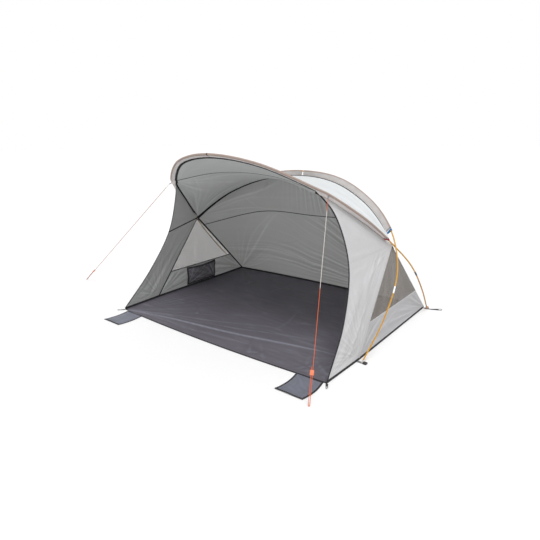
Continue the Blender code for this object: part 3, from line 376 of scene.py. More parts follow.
# %% The poles' centre lines
fine = 6
pole_radius = 0.005
gap = 0.0003
pin_reach = 0.006 + 0.014 + gap
front_sizes = (1.108, 0.086, 1.589, 1.336)
rear_sizes = (1.122, 1.248, 0.362, 1.155)
crossing = np.array([1.030, 0.900, 0.690])
front_arch_shares = ((0.0, 0.0, 1.0), (0.347, 0.050, 0.957), (0.641, 0.179, 0.839), (0.688, 0.217, 0.811),
                     (0.839, 0.382, 0.666))
front_leg_shares = ((0.986, 0.670, 0.379), (1.0, 0.830, 0.195), (0.981, 1.0, 0.0))
rear_arch_shares = ((0.0, 0.0, 1.0), (0.357, 0.045, 0.960), (0.653, 0.159, 0.835), (0.826, 0.281, 0.711))
rear_leg_shares = ((0.994, 0.541, 0.444), (1.0, 0.763, 0.216), (0.961, 1.0, 0.0))
front_arch_steps = [fine * count for count in (6, 6, 3, 5, 4)]
rear_arch_steps = [fine * count for count in (3, 3, 3, 3)]
leg_steps = 5 * fine
front_arch_end = sum(front_arch_steps)
rear_arch_end = sum(rear_arch_steps)
high_arch_end = sum(front_arch_steps[:2])
front_parts = (front_arch_shares, front_leg_shares, front_arch_steps, front_sizes)
rear_parts = (rear_arch_shares, rear_leg_shares, rear_arch_steps, rear_sizes)


def arch_station(share, spread, apex_depth, foot_depth, height):
    across, back_share, up = share
    return np.array([across * spread, apex_depth + back_share * (foot_depth - apex_depth), up * height])


def pole_line(arch_shares, leg_shares, arch_steps, sizes, middle):
    arch = [arch_station(share, *sizes) for share in arch_shares]
    leg = [arch_station(share, *sizes) for share in leg_shares]
    leg[-1] = leg[-1] - unit(leg[-1] - leg[-2]) * pin_reach
    return mirrored_line([*arch, middle, *leg], (*arch_steps, *(leg_steps for _ in leg)))


def crossing_direction():
    """Outward at the crossing, square to both poles."""
    runs = []
    for parts, row in ((front_parts, front_arch_end), (rear_parts, rear_arch_end)):
        line = pole_line(*parts, crossing)
        runs.append(line[row + fine] - line[row - fine])
    across = unit(np.cross(*runs))
    return across * np.sign(across[0])


apart = crossing_direction() * (pole_radius + gap / 2)
front_pole = pole_line(*front_parts, crossing - apart)
rear_pole = pole_line(*rear_parts, crossing + apart)
print("pole lengths:", round(2 * along(front_pole)[-1], 3), round(2 * along(rear_pole)[-1], 3), "m")

# %% [markdown]
# A sleeve holds each pole some 50 mm outside the seam where the panels meet. The seam's distance from the
# pole changes along the arch, because the cloth pulls it inwards. At the crossing both seams come together.
# A seam is a line of points, with a vector at each point from the cloth's inner face to its outer one.

# %% The sleeves' seams
sleeve_width = 0.050
seam_allowance = 0.003
cloth_crossing = crossing - np.array([0.024, 0.0, 0.0])
crossing_out = unit((1.0, 0.0, 0.25)) * seam_allowance
front_sleeve_shares = ((0.0, 0.72, -0.48), (-0.30, 0.56, -0.39), (-0.66, 0.46, -0.30), (-0.68, 0.29, -0.33),
                       (-0.98, 0.33, -0.24))
rear_sleeve_shares = ((0.0, -0.12, -0.72), (-0.29, -0.73, -0.59), (-0.47, -0.75, -0.32), (-0.55, -0.38, -0.31))


def sleeve_seam(pole, arch_shares, sizes, width_shares):
    """A sleeve's seam with one point square to each point of the pole, and its ways out of the tent."""
    places = [arch_station(share, *sizes) + sleeve_width * np.array(width)
              for share, width in zip(arch_shares, width_shares)]
    dense = mirrored_line([*places, cloth_crossing], [24 * fine] * len(places))
    points = [dense[0]]
    for index in range(1, len(pole) - 1):
        ahead = (dense - pole[index]) @ (pole[index + 1] - pole[index - 1])
        after = int(np.argmax(ahead > 0))
        share = ahead[after] / (ahead[after] - ahead[after - 1])
        points.append(dense[after] + share * (dense[after - 1] - dense[after]))
    seam = np.array([*points, cloth_crossing])
    outs = unit(pole - seam) * seam_allowance
    outs[-1] = crossing_out
    return seam, outs


front_seam, front_outs = sleeve_seam(front_pole[:front_arch_end + 1], front_arch_shares, front_sizes,
                                     front_sleeve_shares)
rear_seam_half, rear_outs_half = sleeve_seam(rear_pole[:rear_arch_end + 1], rear_arch_shares, rear_sizes,
                                             rear_sleeve_shares)
rear_seam, rear_outs = both_sides(rear_seam_half), both_sides(rear_outs_half)
print("front sleeve's seam", round(2 * along(front_seam)[-1], 3), "m")

# %% [markdown]
# The floor's outline carries the walls. Its front and rear edges bow out a little, because cloth that is
# pulled at its corners never lies quite straight.

# %% The floor's outline
cloth_thickness = 0.002
base_height = 0.016 + gap / 2
base_lift = up_axis * base_height
front_corner = np.array([1.025, 0.0, 0.0])
side_foot = np.array([1.043, 0.388, 0.0])
rear_corner = np.array([1.054, 1.590, 0.0])
rear_edge_bow = 0.040
hem_ramp = 0.020
across_steps = 2 * rear_arch_end
side_steps = front_arch_end - high_arch_end


def bowed(half_width, depth, bow, steps):
    across = np.linspace(-half_width, half_width, steps + 1)
    swell = 1 - (across / half_width) ** 2
    return np.stack([across, depth + bow * swell, np.zeros(steps + 1)], axis=1)


rear_edge = bowed(rear_corner[0], rear_corner[1], rear_edge_bow, across_steps)
rear_base_line = rear_edge + base_lift
side_out = np.array([cloth_thickness, 0.0, 0.0])
rear_base_outs = np.tile([0.0, cloth_thickness, 0.0], (across_steps + 1, 1))
rear_base_outs[0] = (-cloth_thickness, cloth_thickness, 0.0)
rear_base_outs[-1] = (cloth_thickness, cloth_thickness, 0.0)
front_base, foot_base, rear_base = (place + base_lift for place in (front_corner, side_foot, rear_corner))

# %% [markdown]
# The seams from the crossing down to the side foot and to the rear corner are straight, because they are
# pulled tight. The wing's free edge curves from the visor's corner to the front corner of the floor. A thin
# seam joins the two halves of the roof, and another crosses the back wall. A hold is a place that holds the
# cloth, together with the way out of the tent there.

# %% The seams between the panels
tent_middle = np.array([0.0, 0.795, 0.445])
crossing_hold = (cloth_crossing, crossing_out)
front_hold = (front_base, side_out)
foot_hold = (foot_base, side_out)
rear_hold = (rear_base, rear_base_outs[-1])


def facing_out(line, inward, first, last):
    """Vectors square to a seam and to the cloth beside it, with given ones at both ends."""
    outs = unit(np.cross(np.gradient(line, axis=0), inward))
    middle = len(line) // 2
    if np.dot(outs[middle], line[middle] - tent_middle) < 0:
        outs = -outs
    outs = outs * cloth_thickness
    outs[0] = first
    outs[-1] = last
    return outs


def leg_hold(end, share):
    """A place part of the way down a leg's seam, with its way out of the tent."""
    return tuple(top + (bottom - top) * share for top, bottom in zip(crossing_hold, end))


skirt_front_height = 0.215
skirt_rear_height = 0.212
leg_drop = cloth_crossing[2] - base_height
window_front = leg_hold(foot_hold, 1 - (skirt_front_height - base_height) / leg_drop)
window_rear = leg_hold(rear_hold, 1 - (skirt_rear_height - base_height) / leg_drop)
back_hold = leg_hold(rear_hold, 0.125)
back_seam_end, back_seam_end_out = back_hold

visor_corner = front_seam[high_arch_end]
visor_corner_out = front_outs[high_arch_end]
opening_shares = ((0.767, 0.498, 0.707), (0.880, 0.493, 0.4745), (0.957, 0.293, 0.227))
opening_sizes = np.array([1.025, 0.900, 1.336])
opening_stations = [np.array(share) * opening_sizes for share in opening_shares]
opening_steps = [fine * count for count in (4, 4, 6, 6)]
opening_edge = smooth_line([visor_corner, *opening_stations, front_base], opening_steps)
wing_seam_row = sum(opening_steps[:2])
wing_corner = opening_edge[wing_seam_row]
wing_seam = straight(cloth_crossing, wing_corner, side_steps)
wing_below = straight(foot_base, front_base, side_steps) - wing_seam
wing_corner_out = unit(np.cross(wing_seam[-1] - wing_seam[-2], wing_below[-1])) * cloth_thickness
wing_corner_out = wing_corner_out * np.sign(wing_corner_out[0])
wing_seam_outs = facing_out(wing_seam, wing_below, crossing_out, wing_corner_out)


def thin_seam_half():
    stations = []
    for across, back_share, sag in ((0.0, 0.262, 1.0), (0.49, 0.25, 0.79)):
        place = across * visor_corner[0]
        rim = interpolated(place, front_seam[:, 0], front_seam)
        ridge = interpolated(place, rear_seam_half[:, 0], rear_seam_half)
        stations.append(rim + back_share * (ridge - rim) - up_axis * (0.067 * sag))
    return [*stations, visor_corner]


def back_seam_half():
    top = rear_seam_half[0]
    bottom = rear_base_line[across_steps // 2]
    middle = top + 0.340 * (bottom - top)
    shoulder = back_seam_end * (0.55, 1, 1)
    shoulder[1:] = back_seam_end[1:] + 0.93 * (middle[1:] - back_seam_end[1:])
    return [middle, shoulder, back_seam_end]


half_steps = (rear_arch_end // 2, rear_arch_end - rear_arch_end // 2)
thin_seam = both_sides(mirrored_line(thin_seam_half(), half_steps))
thin_outs = facing_out(thin_seam, rear_seam - thin_seam, visor_corner_out * to_left, visor_corner_out)
back_seam = both_sides(mirrored_line(back_seam_half(), half_steps))
back_outs = facing_out(back_seam, rear_base_line - back_seam, back_seam_end_out * to_left, back_seam_end_out)
print("thin seam", round(along(thin_seam)[-1], 3), "m, back seam", round(along(back_seam)[-1], 3), "m")

# %% [markdown]
# ## Making cloth
# A panel is a patch between four edges. The patch is first given its belly and soft folds, as in the CAD.
# Then come the creases that tight cloth has: fans that start where it is pulled, and sharp little folds left
# from packing. They fade out towards the seams. The result is a closed sheet 0.8 mm thick with its own
# finish inside and outside.

# %% A patch between four edges
sheet_thickness = 0.0008


def patch(low, high, start, end):
    u = np.linspace(0, 1, len(low))[None, :, None]
    v = np.linspace(0, 1, len(start))[:, None, None]
    ruled = (1 - v) * low[None] + v * high[None]
    crossed = (1 - u) * start[:, None] + u * end[:, None]
    near = (1 - u) * low[0] + u * low[-1]
    far = (1 - u) * high[0] + u * high[-1]
    return ruled + crossed - (1 - v) * near - v * far


def surface_normals(grid):
    """Unit normals of a grid, away from the middle of the tent. A row that is a point takes its neighbour's."""
    normals = np.cross(np.gradient(grid, axis=1), np.gradient(grid, axis=0))
    size = np.linalg.norm(normals, axis=2, keepdims=True)
    for row, near in ((0, 1), (-1, -2)):
        if size[row].min() < 1e-9:
            normals[row] = normals[near]
            size[row] = size[near]
    normals = normals / np.maximum(size, 1e-12)
    middle = grid.reshape(-1, 3).mean(axis=0) - tent_middle
    if np.sum(normals.reshape(-1, 3).mean(axis=0) * middle) < 0:
        normals = -normals
    return normals


# %% The chart of a panel, in metres
all_edges = ("low", "high", "start", "end")


def chart_of(grid):
    """Flat coordinates of a grid: along its rows from their middle, and down its columns."""
    rows, columns = np.zeros(grid.shape[:2]), np.zeros(grid.shape[:2])
    rows[:, 1:] = np.cumsum(np.linalg.norm(np.diff(grid, axis=1), axis=2), axis=1)
    columns[1:] = np.cumsum(np.linalg.norm(np.diff(grid, axis=0), axis=2), axis=0)
    return np.stack([rows - rows[:, -1:] / 2, columns], axis=2)


def edge_fade(grid, width, sides=all_edges):
    """0 at the named edges of a grid, and 1 where they are further away than a width, roughly."""
    chart = chart_of(grid)
    u, v = chart[:, :, 0], chart[:, :, 1]
    distances = {"start": u - u[:, :1], "end": u[:, -1:] - u, "low": v, "high": v[-1:] - v}
    return np.clip(np.minimum.reduce([distances[side] for side in sides]) / width, 0, 1)

# %% [markdown]
# A fan of creases starts at the place where the cloth is pulled. Its height depends on the angle round that
# place, as a sum of waves that don't fit together, so no two creases are alike. Packing folds are short:
# each is a sharp ridge along a line, in a patch of its own.

# %% Creases
finest_crease = 0.006
crease_ramp = 0.012


def flat_axes(normals):
    out = unit(normals.reshape(-1, 3).mean(axis=0))
    first = unit(np.cross(out, (0.0, 0.0, 1.0) if abs(out[2]) < 0.9 else (0.0, 1.0, 0.0)))
    return first, np.cross(out, first)


def fan(points, place, reach, count, height, draw, strip=None):
    """Creases that spread from a place, highest at a third of their reach. A strip limits them to a line's sides.
    They fade out near the place, where they would be finer than the cloth's points can show."""
    away = points - place
    distance = np.linalg.norm(away, axis=-1)
    angle = np.arctan2(away[..., 1], away[..., 0])
    waves = np.zeros(distance.shape)
    for harmonic in (1.0, 1.63, 2.41):
        phase = draw.uniform(0, 2 * math.pi)
        turn = count * harmonic * angle + phase + 0.5 * np.sin(distance * 7 + phase)
        spacing = 2 * math.pi * distance / (count * harmonic)
        shown = np.clip((spacing - finest_crease) / crease_ramp, 0, 1)
        waves += shown * (1 - 2 * np.abs(np.sin(turn / 2)) ** 0.7) / harmonic
    if strip is not None:
        run = unit(strip[0] - place)
        waves = waves * np.exp(-((away @ np.array([-run[1], run[0]]) / strip[1]) ** 2))
    share = 3 * distance / reach
    return height * waves * share * np.exp(1 - share) / 2


def packing_folds(points, count, size, height, draw):
    """Short sharp ridges, each in a patch of its own."""
    low, high = points.reshape(-1, 2).min(axis=0), points.reshape(-1, 2).max(axis=0)
    total = np.zeros(points.shape[:2])
    for _ in range(count):
        middle = draw.uniform(low, high)
        heading = draw.uniform(0, math.pi)
        length = size * draw.uniform(0.6, 1.6)
        away = points - middle
        run = away[..., 0] * math.cos(heading) + away[..., 1] * math.sin(heading)
        side = -away[..., 0] * math.sin(heading) + away[..., 1] * math.cos(heading)
        side = side + 0.12 * length * np.sin(run / length * 2 + draw.uniform(0, 6))
        width = length * draw.uniform(0.08, 0.16)
        ridge = np.exp(-np.abs(side) / width) * np.exp(-((run / length) ** 2))
        total += height * draw.choice((-1.0, 1.0)) * draw.uniform(0.5, 1.0) * ridge
    return total


def fold_lines(height):
    """1 on a sharp ridge, -1 in a sharp valley, 0 where the cloth is smooth."""
    mean = height.copy()
    for axis in (0, 1):
        padded = np.pad(mean, [(2, 2) if number == axis else (0, 0) for number in (0, 1)], mode="edge")
        parts = [np.take(padded, range(shift, shift + mean.shape[axis]), axis=axis) for shift in range(5)]
        mean = sum(parts) / len(parts)
    return np.clip((height - mean) / 0.0011, -1, 1)


def crease_height(grid, normals, fans, folds, seed):
    first, second = flat_axes(normals)
    points = np.stack([grid @ first, grid @ second], axis=-1)
    draw = np.random.default_rng(seed)
    height = np.zeros(points.shape[:2])
    for place, reach, count, size, *strip in fans:
        place = np.array([place @ first, place @ second])
        limits = (np.array([strip[0] @ first, strip[0] @ second]), strip[1]) if strip else None
        height += fan(points, place, reach, count, size, draw, limits)
    count, size, fold_height = folds
    return height + packing_folds(points, count, size, fold_height, draw)


# %% A closed sheet from a grid
sharp_angle = math.radians(50)


def quads_of(index):
    """The faces between the points of a grid, whose numbers are given."""
    return np.stack([index[:-1, :-1], index[:-1, 1:], index[1:, 1:], index[1:, :-1]], axis=-1).reshape(-1, 4)


def tidied(mesh, limit=0.00002):
    """Turns all faces outward. With a limit it first joins points that lie together, and drops empty faces."""
    body = bmesh.new()
    body.from_mesh(mesh)
    if limit:
        bmesh.ops.remove_doubles(body, verts=body.verts, dist=limit)
        bmesh.ops.dissolve_degenerate(body, edges=body.edges, dist=limit / 10)
    bmesh.ops.recalc_face_normals(body, faces=body.faces)
    if limit and body.calc_volume(signed=True) < 0:
        bmesh.ops.reverse_faces(body, faces=body.faces)
    body.to_mesh(mesh)
    body.free()
    mesh.shade_smooth()
    mesh.set_sharp_from_angle(angle=sharp_angle)
    return mesh


def placed(name, mesh):
    piece = bpy.data.objects.new(name, mesh)
    bpy.context.scene.collection.objects.link(piece)
    return piece


def declared(piece, body="tent", nodes=()):
    """Hides the CAD nodes a piece stands for, and attaches it to the body it moves with."""
    if nodes:
        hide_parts(*nodes)
    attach(piece, body)
    return piece


def sheet_object(name, middle, normals, materials, thickness=sheet_thickness, height=None):
    """A closed thin body with an outer face, an inner face and a rim. The height of its creases marks its folds."""
    outer = (middle + normals * thickness / 2).reshape(-1, 3)
    inner = (middle - normals * thickness / 2).reshape(-1, 3)
    count = len(outer)
    index = np.arange(count).reshape(middle.shape[:2])
    quads = quads_of(index)
    border = np.concatenate([index[0], index[1:, -1], index[-1, -2::-1], index[-2:0:-1, 0]])
    after = np.roll(border, -1)
    rim = np.stack([border, after, after + count, border + count], axis=-1)
    faces = np.vstack([quads, quads[:, ::-1] + count, rim])
    mesh = bpy.data.meshes.new(name)
    mesh.from_pydata((np.vstack([outer, inner]) + to_frame).tolist(), [], faces.tolist())
    flat = np.tile(chart_of(middle).reshape(-1, 2), (2, 1))
    mesh.uv_layers.new(name="chart").data.foreach_set("uv", flat[faces.reshape(-1)].reshape(-1))
    if height is not None:
        lines = fold_lines(height).reshape(-1)
        mesh.attributes.new("fold", "FLOAT", "POINT").data.foreach_set("value", np.tile(lines, 2))
    for material in materials:
        mesh.materials.append(material)
    if len(materials) > 1:
        slots = np.zeros(len(faces), int)
        slots[len(quads):2 * len(quads)] = 1
        mesh.polygons.foreach_set("material_index", slots)
    return placed(name, tidied(mesh))

# %% [markdown]
# ## Other finishes
# The sleeves are the same cloth, a little warmer. The front ones get a lighter copy of it, painted light, and the
# rear ones a darker copy, painted shade. Brown lines run along both edges of a sleeve: the one by the pole is a
# painted line where the pole shows through the cloth and shades it. The floor is dark woven polyethylene with a
# slight sheen, and creased from folding. The folds of the floor and of the mesh are painted lighter on their
# ridges and darker in their valleys: painted highlight and painted shade. The windows are fine insect mesh: it
# is drawn as a part-transparent cloth, since its holes are smaller than a pixel.

# %% Sleeve, floor and mesh
def sleeve_finish(name, dark, light):
    cloth = Finish(name, 0.7)
    chart = cloth.chart()
    place = cloth.place()
    across, _, _ = cloth.parts(chart)
    # Brown lines by the pole and by the seam; the one by the pole is painted, where the pole shows through and shades
    # the cloth.
    edge_lines = (1 - across.step(0.001, 0.010)).at_least(across.step(0.054, 0.057))
    tone = cloth.noise(place, 0.05, 3.0)
    band = cloth.shade(tone.step(0.3, 0.7), dark, light)
    cloth.set("Base Color", cloth.shade(edge_lines * 0.8, band, (0.36, 0.245, 0.19)))
    pucker = cloth.noise(chart, 0.016, 2.0, (1.0, 1.6, 1.0))
    cloth.bump(pucker * 0.0022 + cloth.weave(chart, thread_pitch) * thread_height, 1.0, 0.7)
    cloth.let_light_through(0.35, (0.86, 0.84, 0.82))
    return cloth.material


def floor_finish(name, dark, light, roughness):
    cloth = Finish(name, roughness)
    place = cloth.warped(cloth.place(), 0.35, 0.10)
    threads = cloth.weave(cloth.chart(), 0.003)
    broad = cloth.noise(place, 0.45, 3.0)
    streaks = cloth.noise(place, 0.05, 3.0, (0.18, 1.6, 1.0))
    rubbed = cloth.noise(place, 0.09, 4.0, (0.30, 1.0, 1.0)).step(0.58, 0.80)
    tone = broad * 0.40 + streaks * 0.45 + rubbed * 0.30 + threads * 0.06
    plain = cloth.shade(tone.step(0.25, 0.95), dark, light)
    # Painted highlight, a lighter blue, on the ridges of the folds, and painted shade in their valleys.
    ridge = [value * shift for value, shift in zip(light, (1.75, 1.9, 1.95))]
    valley = [value * 0.66 for value in dark]
    cloth.set("Base Color", with_fold_shading(cloth, plain, ridge, valley, 0.5))
    cloth.set("Roughness", roughness - rubbed * 0.12)
    small = cloth.noise(place, 0.02, 2.0)
    cloth.bump(streaks * 0.0030 + small * 0.0006 + threads * 0.00008, 1.0, 0.7)
    return cloth.material


def net_finish(name, dark, light, alpha, pitch):
    cloth = Finish(name, 0.85, Alpha=alpha)
    chart = cloth.chart()
    threads = cloth.weave(chart, pitch)
    tone = cloth.noise(cloth.place(), 0.12, 2.0) * 0.6 + threads * 0.4
    plain = cloth.shade(tone.step(0.2, 0.8), dark, light)
    # Painted highlight on the ridges of the folds, and painted shade in their valleys.
    ridge = [value * 1.5 for value in light]
    valley = [value * 0.6 for value in dark]
    cloth.set("Base Color", with_fold_shading(cloth, plain, ridge, valley, 0.6))
    cloth.bump(threads * 0.0001, 1.0, 0.6)
    return cloth.material


# The same sleeve cloth twice: a lighter copy on the front sleeves, painted light, and a darker one at the rear,
# painted shade.
lit_front_band = sleeve_finish("front_sleeve_band", (0.83, 0.795, 0.79), (0.90, 0.87, 0.86))
shaded_rear_band = sleeve_finish("rear_sleeve_band", (0.58, 0.56, 0.555), (0.655, 0.635, 0.63))
floor_sheet = floor_finish("floor_sheet", (0.094, 0.086, 0.104), (0.170, 0.163, 0.194), 0.6)
flap_sheet = floor_finish("flap_sheet", (0.140, 0.146, 0.180), (0.195, 0.202, 0.245), 0.6)
window_net = net_finish("window_net", (0.272, 0.248, 0.228), (0.336, 0.307, 0.284), 0.50, 0.0016)
pocket_net = net_finish("pocket_net", (0.110, 0.102, 0.122), (0.27, 0.258, 0.292), 0.62, 0.003)
print("made six cloth finishes")


# %% [markdown]
# Tapes and webbing are narrow weaves. Ribs run across them, and their edges are a little darker. The same
# function makes the black seam tape, the dark binding and the red, blue and grey webbing.

# %% Tapes, thread and cord
def tape_finish(name, dark, light, rib=0.0016, roughness=0.85):
    tape = Finish(name, roughness)
    _, lengthwise, _ = tape.parts(tape.chart())
    ribs = (lengthwise * (2 * math.pi / rib)).sine() * 0.5 + 0.5
    tone = ribs * 0.5 + tape.noise(tape.place(), 0.01, 2.0) * 0.5
    tape.set("Base Color", tape.shade(tone.step(0.2, 0.8), dark, light))
    tape.bump(ribs * 0.00015, 1.0, 0.6)
    return tape.material


def guy_finish(name, dark, light, highlight_from, highlight_to):
    """Braided cord along its length, orange, with a painted highlight: a pale stretch between two distances."""
    blend = 0.004
    cord = Finish(name, 0.8, Specular_IOR_Level=0.1)
    around, lengthwise, _ = cord.parts(cord.chart())
    along_turns, round_turns = lengthwise * 3500, around * 12
    braid = (along_turns + round_turns).sine() * (along_turns - round_turns).sine() * 0.5 + 0.5
    orange = cord.shade(braid.step(0.1, 0.9), dark, light)
    painted_highlight = cord.shade(braid.step(0.1, 0.9), (0.50, 0.44, 0.40), (0.74, 0.68, 0.64))
    after_start, after_end = (lengthwise.step(place - blend, place + blend) for place in (highlight_from, highlight_to))
    cord.set("Base Color", cord.shade(after_start * (1 - after_end), orange, painted_highlight))
    cord.bump(braid * 0.0003, 1.0, 0.8)
    return cord.material


black_tape = tape_finish("black_tape", (0.004, 0.004, 0.005), (0.010, 0.010, 0.011))
dark_seam = tape_finish("dark_seam", (0.045, 0.047, 0.047), (0.075, 0.078, 0.078))
dark_binding = tape_finish("dark_binding", (0.012, 0.011, 0.013), (0.026, 0.024, 0.028))
seam_thread = tape_finish("seam_thread", (0.30, 0.30, 0.30), (0.42, 0.42, 0.42), 0.0008)
dark_thread = tape_finish("dark_thread", (0.05, 0.05, 0.05), (0.08, 0.08, 0.08), 0.0008)
red_tape = tape_finish("red_tape", (0.20, 0.006, 0.016), (0.30, 0.012, 0.030))
blue_tape = tape_finish("blue_tape", (0.010, 0.11, 0.30), (0.02, 0.18, 0.44))
grey_tape = tape_finish("grey_tape", (0.15, 0.15, 0.155), (0.27, 0.27, 0.28))
loop_tape = tape_finish("loop_tape", (0.022, 0.023, 0.024), (0.050, 0.052, 0.054))
print("made the tapes and the thread")

# %% [markdown]
# The poles are pultruded fibreglass: yellow-orange, smooth, with fine fibres along them under a clear gloss.
# The ferrules and the end pins are plated steel.

# %% Hard finishes
def fibreglass_finish(name, dark, light):
    rod = Finish(name, 0.35, Coat_Weight=0.05, Specular_IOR_Level=0.2)
    fibres = rod.noise(rod.place(), 0.004, 3.0, (1.0, 1.0, 0.15))
    broad = rod.noise(rod.place(), 0.2, 1.0)
    tone = fibres * 0.6 + broad * 0.4
    rod.set("Base Color", rod.shade(tone.step(0.3, 0.7), dark, light))
    rod.bump(fibres * 0.0001, 1.0, 0.4)
    return rod.material


def steel_finish():
    metal = Finish("plated_steel", 0.3, Metallic=1.0)
    scratches = metal.noise(metal.place(), 0.003, 3.0)
    metal.set("Base Color", metal.shade(scratches, (0.60, 0.60, 0.61), (0.78, 0.78, 0.79)))
    metal.set("Roughness", 0.22 + scratches * 0.2)
    return metal.material


def moulded_finish(name, dark, light):
    plastic = Finish(name, 0.45)
    grain = plastic.noise(plastic.place(), 0.002, 2.0)
    plastic.set("Base Color", plastic.shade(grain, dark, light))
    plastic.bump(grain * 0.0001, 1.0, 0.4)
    return plastic.material


fibreglass_rod = fibreglass_finish("fibreglass_rod", (0.50, 0.25, 0.020), (0.64, 0.335, 0.036))
# A darker copy of the same fibreglass, for the front pole's legs: painted shade.
fibreglass_shaded = fibreglass_finish("fibreglass_shaded", (0.40, 0.175, 0.004), (0.54, 0.25, 0.010))
plated_steel = steel_finish()
runner_plastic = moulded_finish("runner_moulding", (0.70, 0.17, 0.07), (0.84, 0.24, 0.11))
dark_plastic = moulded_finish("dark_moulding", (0.020, 0.017, 0.020), (0.045, 0.040, 0.045))
red_plastic = moulded_finish("red_moulding", (0.22, 0.035, 0.020), (0.34, 0.060, 0.035))
elastic_cord = moulded_finish("elastic_cover", (0.70, 0.70, 0.70), (0.85, 0.85, 0.85))
print("made the hard finishes")

# %% [markdown]
# ## The panels
# Each panel takes its edges from the seams above, so that neighbours meet. The same steps make the right
# side and, mirrored, the left side. Each panel prints the size it was cut to and its area of cloth.

# %% One panel
cloths = {}
crease_start = 0.065
cutting_allowance = 1.01


def edge(points, outs=None):
    return np.asarray(points), None if outs is None else np.asarray(outs)


def flipped(side_edge):
    points, outs = side_edge
    return points * to_left, None if outs is None else outs * to_left


def point_edge(hold, steps):
    return tuple(np.repeat([vector], steps + 1, axis=0) for vector in hold)


def between(first, second, steps):
    """A straight edge from one hold to another."""
    return tuple(straight(start, end, steps) for start, end in zip(first, second))


def panel_surface(low, high, start, end, belly=0.0, fold=0.0, fold_count=0):
    """The middle of a panel's cloth before the creases."""
    grid = patch(low[0], high[0], start[0], end[0])
    u = np.linspace(0, 1, grid.shape[1])[None, :, None]
    v = np.linspace(0, 1, grid.shape[0])[:, None, None]
    fade = 16 * u * (1 - u) * v * (1 - v)
    grid = grid + surface_normals(grid) * fade * (belly + fold * np.sin(2 * math.pi * fold_count * u))
    offset = surface_normals(grid) * cloth_thickness
    for (_, outs), place in ((low, np.s_[0, :]), (high, np.s_[-1, :]), (start, np.s_[:, 0]), (end, np.s_[:, -1])):
        if outs is not None:
            offset[place] = outs
    return grid + offset / 2


def refined(grid, times):
    """The same surface with more points: each step between two points is split into equal ones."""
    for axis in (0, 1):
        steps = np.linspace(0, grid.shape[axis] - 1, (grid.shape[axis] - 1) * times + 1)
        low = np.minimum(steps.astype(int), grid.shape[axis] - 2)
        share = (steps - low).reshape((-1, 1, 1) if axis == 0 else (1, -1, 1))
        grid = np.take(grid, low, axis) * (1 - share) + np.take(grid, low + 1, axis) * share
    return grid


def panel(name, node, edges, finishes, shape=(0.0, 0.0, 0), fans=(), folds=(0, 0.1, 0.0),
          seed=1, fineness=1):
    grid = refined(panel_surface(*edges, *shape), fineness)
    normals = surface_normals(grid)
    fade = edge_fade(grid, crease_start)
    fade = fade * fade * (3 - 2 * fade)
    height = crease_height(grid, normals, fans, folds, seed) * fade
    grid = grid + normals * height[:, :, None]
    normals = surface_normals(grid)
    piece = declared(sheet_object(name, grid, normals, finishes, height=height), nodes=[node])
    area = sum(face.area for face in piece.data.polygons) / 2
    width, length = (float(np.ptp(grid @ axis)) for axis in flat_axes(normals))
    length = max(length, area / width * cutting_allowance)
    print(name, round(width, 2), "x", round(length, 2), "m, cloth", round(area, 2), "m2")
    cloths[name] = (grid, normals)

# %% [markdown]
# ### Roof and visor
# The roof hangs between the two arches like a saddle. Its hollow is deepest in the middle. Its front strip,
# the visor, is a panel of its own with its rim on the front pole.

# %% Roof and visor
shell = [shell_outside, shell_inside]
roof_shell = [lit_roof_outside, shell_inside]
rim_outs = both_sides(front_outs[:high_arch_end + 1])
visor_rim = edge(both_sides(front_seam[:high_arch_end + 1]), rim_outs)
thin_edge = edge(thin_seam, thin_outs)
ridge_edge = edge(rear_seam, rear_outs)
visor_side = point_edge((visor_corner, visor_corner_out), 4 * fine)
roof_side = edge(front_seam[high_arch_end:], front_outs[high_arch_end:])
left_visor_corner = visor_corner * to_left
left_crossing = cloth_crossing * to_left
panel("visor_cloth", "visor_panel", (flipped(visor_side), visor_side, visor_rim, thin_edge), roof_shell,
      shape=(-0.004, 0.0, 0), fans=[(visor_corner, 0.5, 9, 0.0022), (left_visor_corner, 0.5, 9, 0.0022)],
      folds=(8, 0.07, 0.0012), seed=3)
panel("roof_cloth", "roof_panel", (thin_edge, ridge_edge, flipped(roof_side), roof_side), roof_shell,
      shape=(-0.092, 0.0, 0), folds=(16, 0.10, 0.0014), seed=5,
      fans=[(cloth_crossing, 0.8, 10, 0.0040), (left_crossing, 0.8, 10, 0.0040),
            (visor_corner, 0.5, 8, 0.0022), (left_visor_corner, 0.5, 8, 0.0022)])

# %% [markdown]
# ### Back wall
# The back wall has an upper and a lower part. It is pulled down at the floor's rear corners and towards the
# crossings, so creases fan from there across the whole wall.

# %% Back wall
over_wall = np.array([0.1, 1.25, 2.2])
back_edge = edge(back_seam, back_outs)
upper_end = between(crossing_hold, back_hold, 3 * fine)
lower_end = between(back_hold, rear_hold, 8 * fine)
panel("rear_upper_cloth", "rear_wall_upper", (ridge_edge, back_edge, flipped(upper_end), upper_end), shell,
      shape=(0.0, 0.003, 5), folds=(10, 0.10, 0.0014), seed=7, fineness=2,
      fans=[(cloth_crossing, 0.9, 9, 0.0030), (left_crossing, 0.9, 9, 0.0040),
            (over_wall, 3.6, 150, 0.0042, back_seam_end * (0.45, 1.0, 1.0), 0.38)])
panel("rear_lower_cloth", "rear_wall_lower",
      (back_edge, edge(rear_base_line, rear_base_outs), flipped(lower_end), lower_end), shell,
      shape=(0.012, 0.006, 6), folds=(9, 0.12, 0.0014), seed=11, fineness=2,
      fans=[(rear_base, 2.6, 90, 0.0105, np.array([0.25, 1.44, 0.72]), 0.16),
            (rear_base, 2.4, 64, 0.0085, np.array([-0.1, 1.58, 0.22]), 0.13),
            (rear_base, 1.7, 40, 0.0030),
            (rear_base * to_left, 1.5, 11, 0.0065, np.array([-0.45, 1.4, 0.7]), 0.16)])

# %% [markdown]
# ### Sides
# A side has two wing panels in front of the rear pole's leg, a triangle of insect mesh behind it, and a
# skirt under the mesh. The wing's front edge is free, with a tape folded round it.

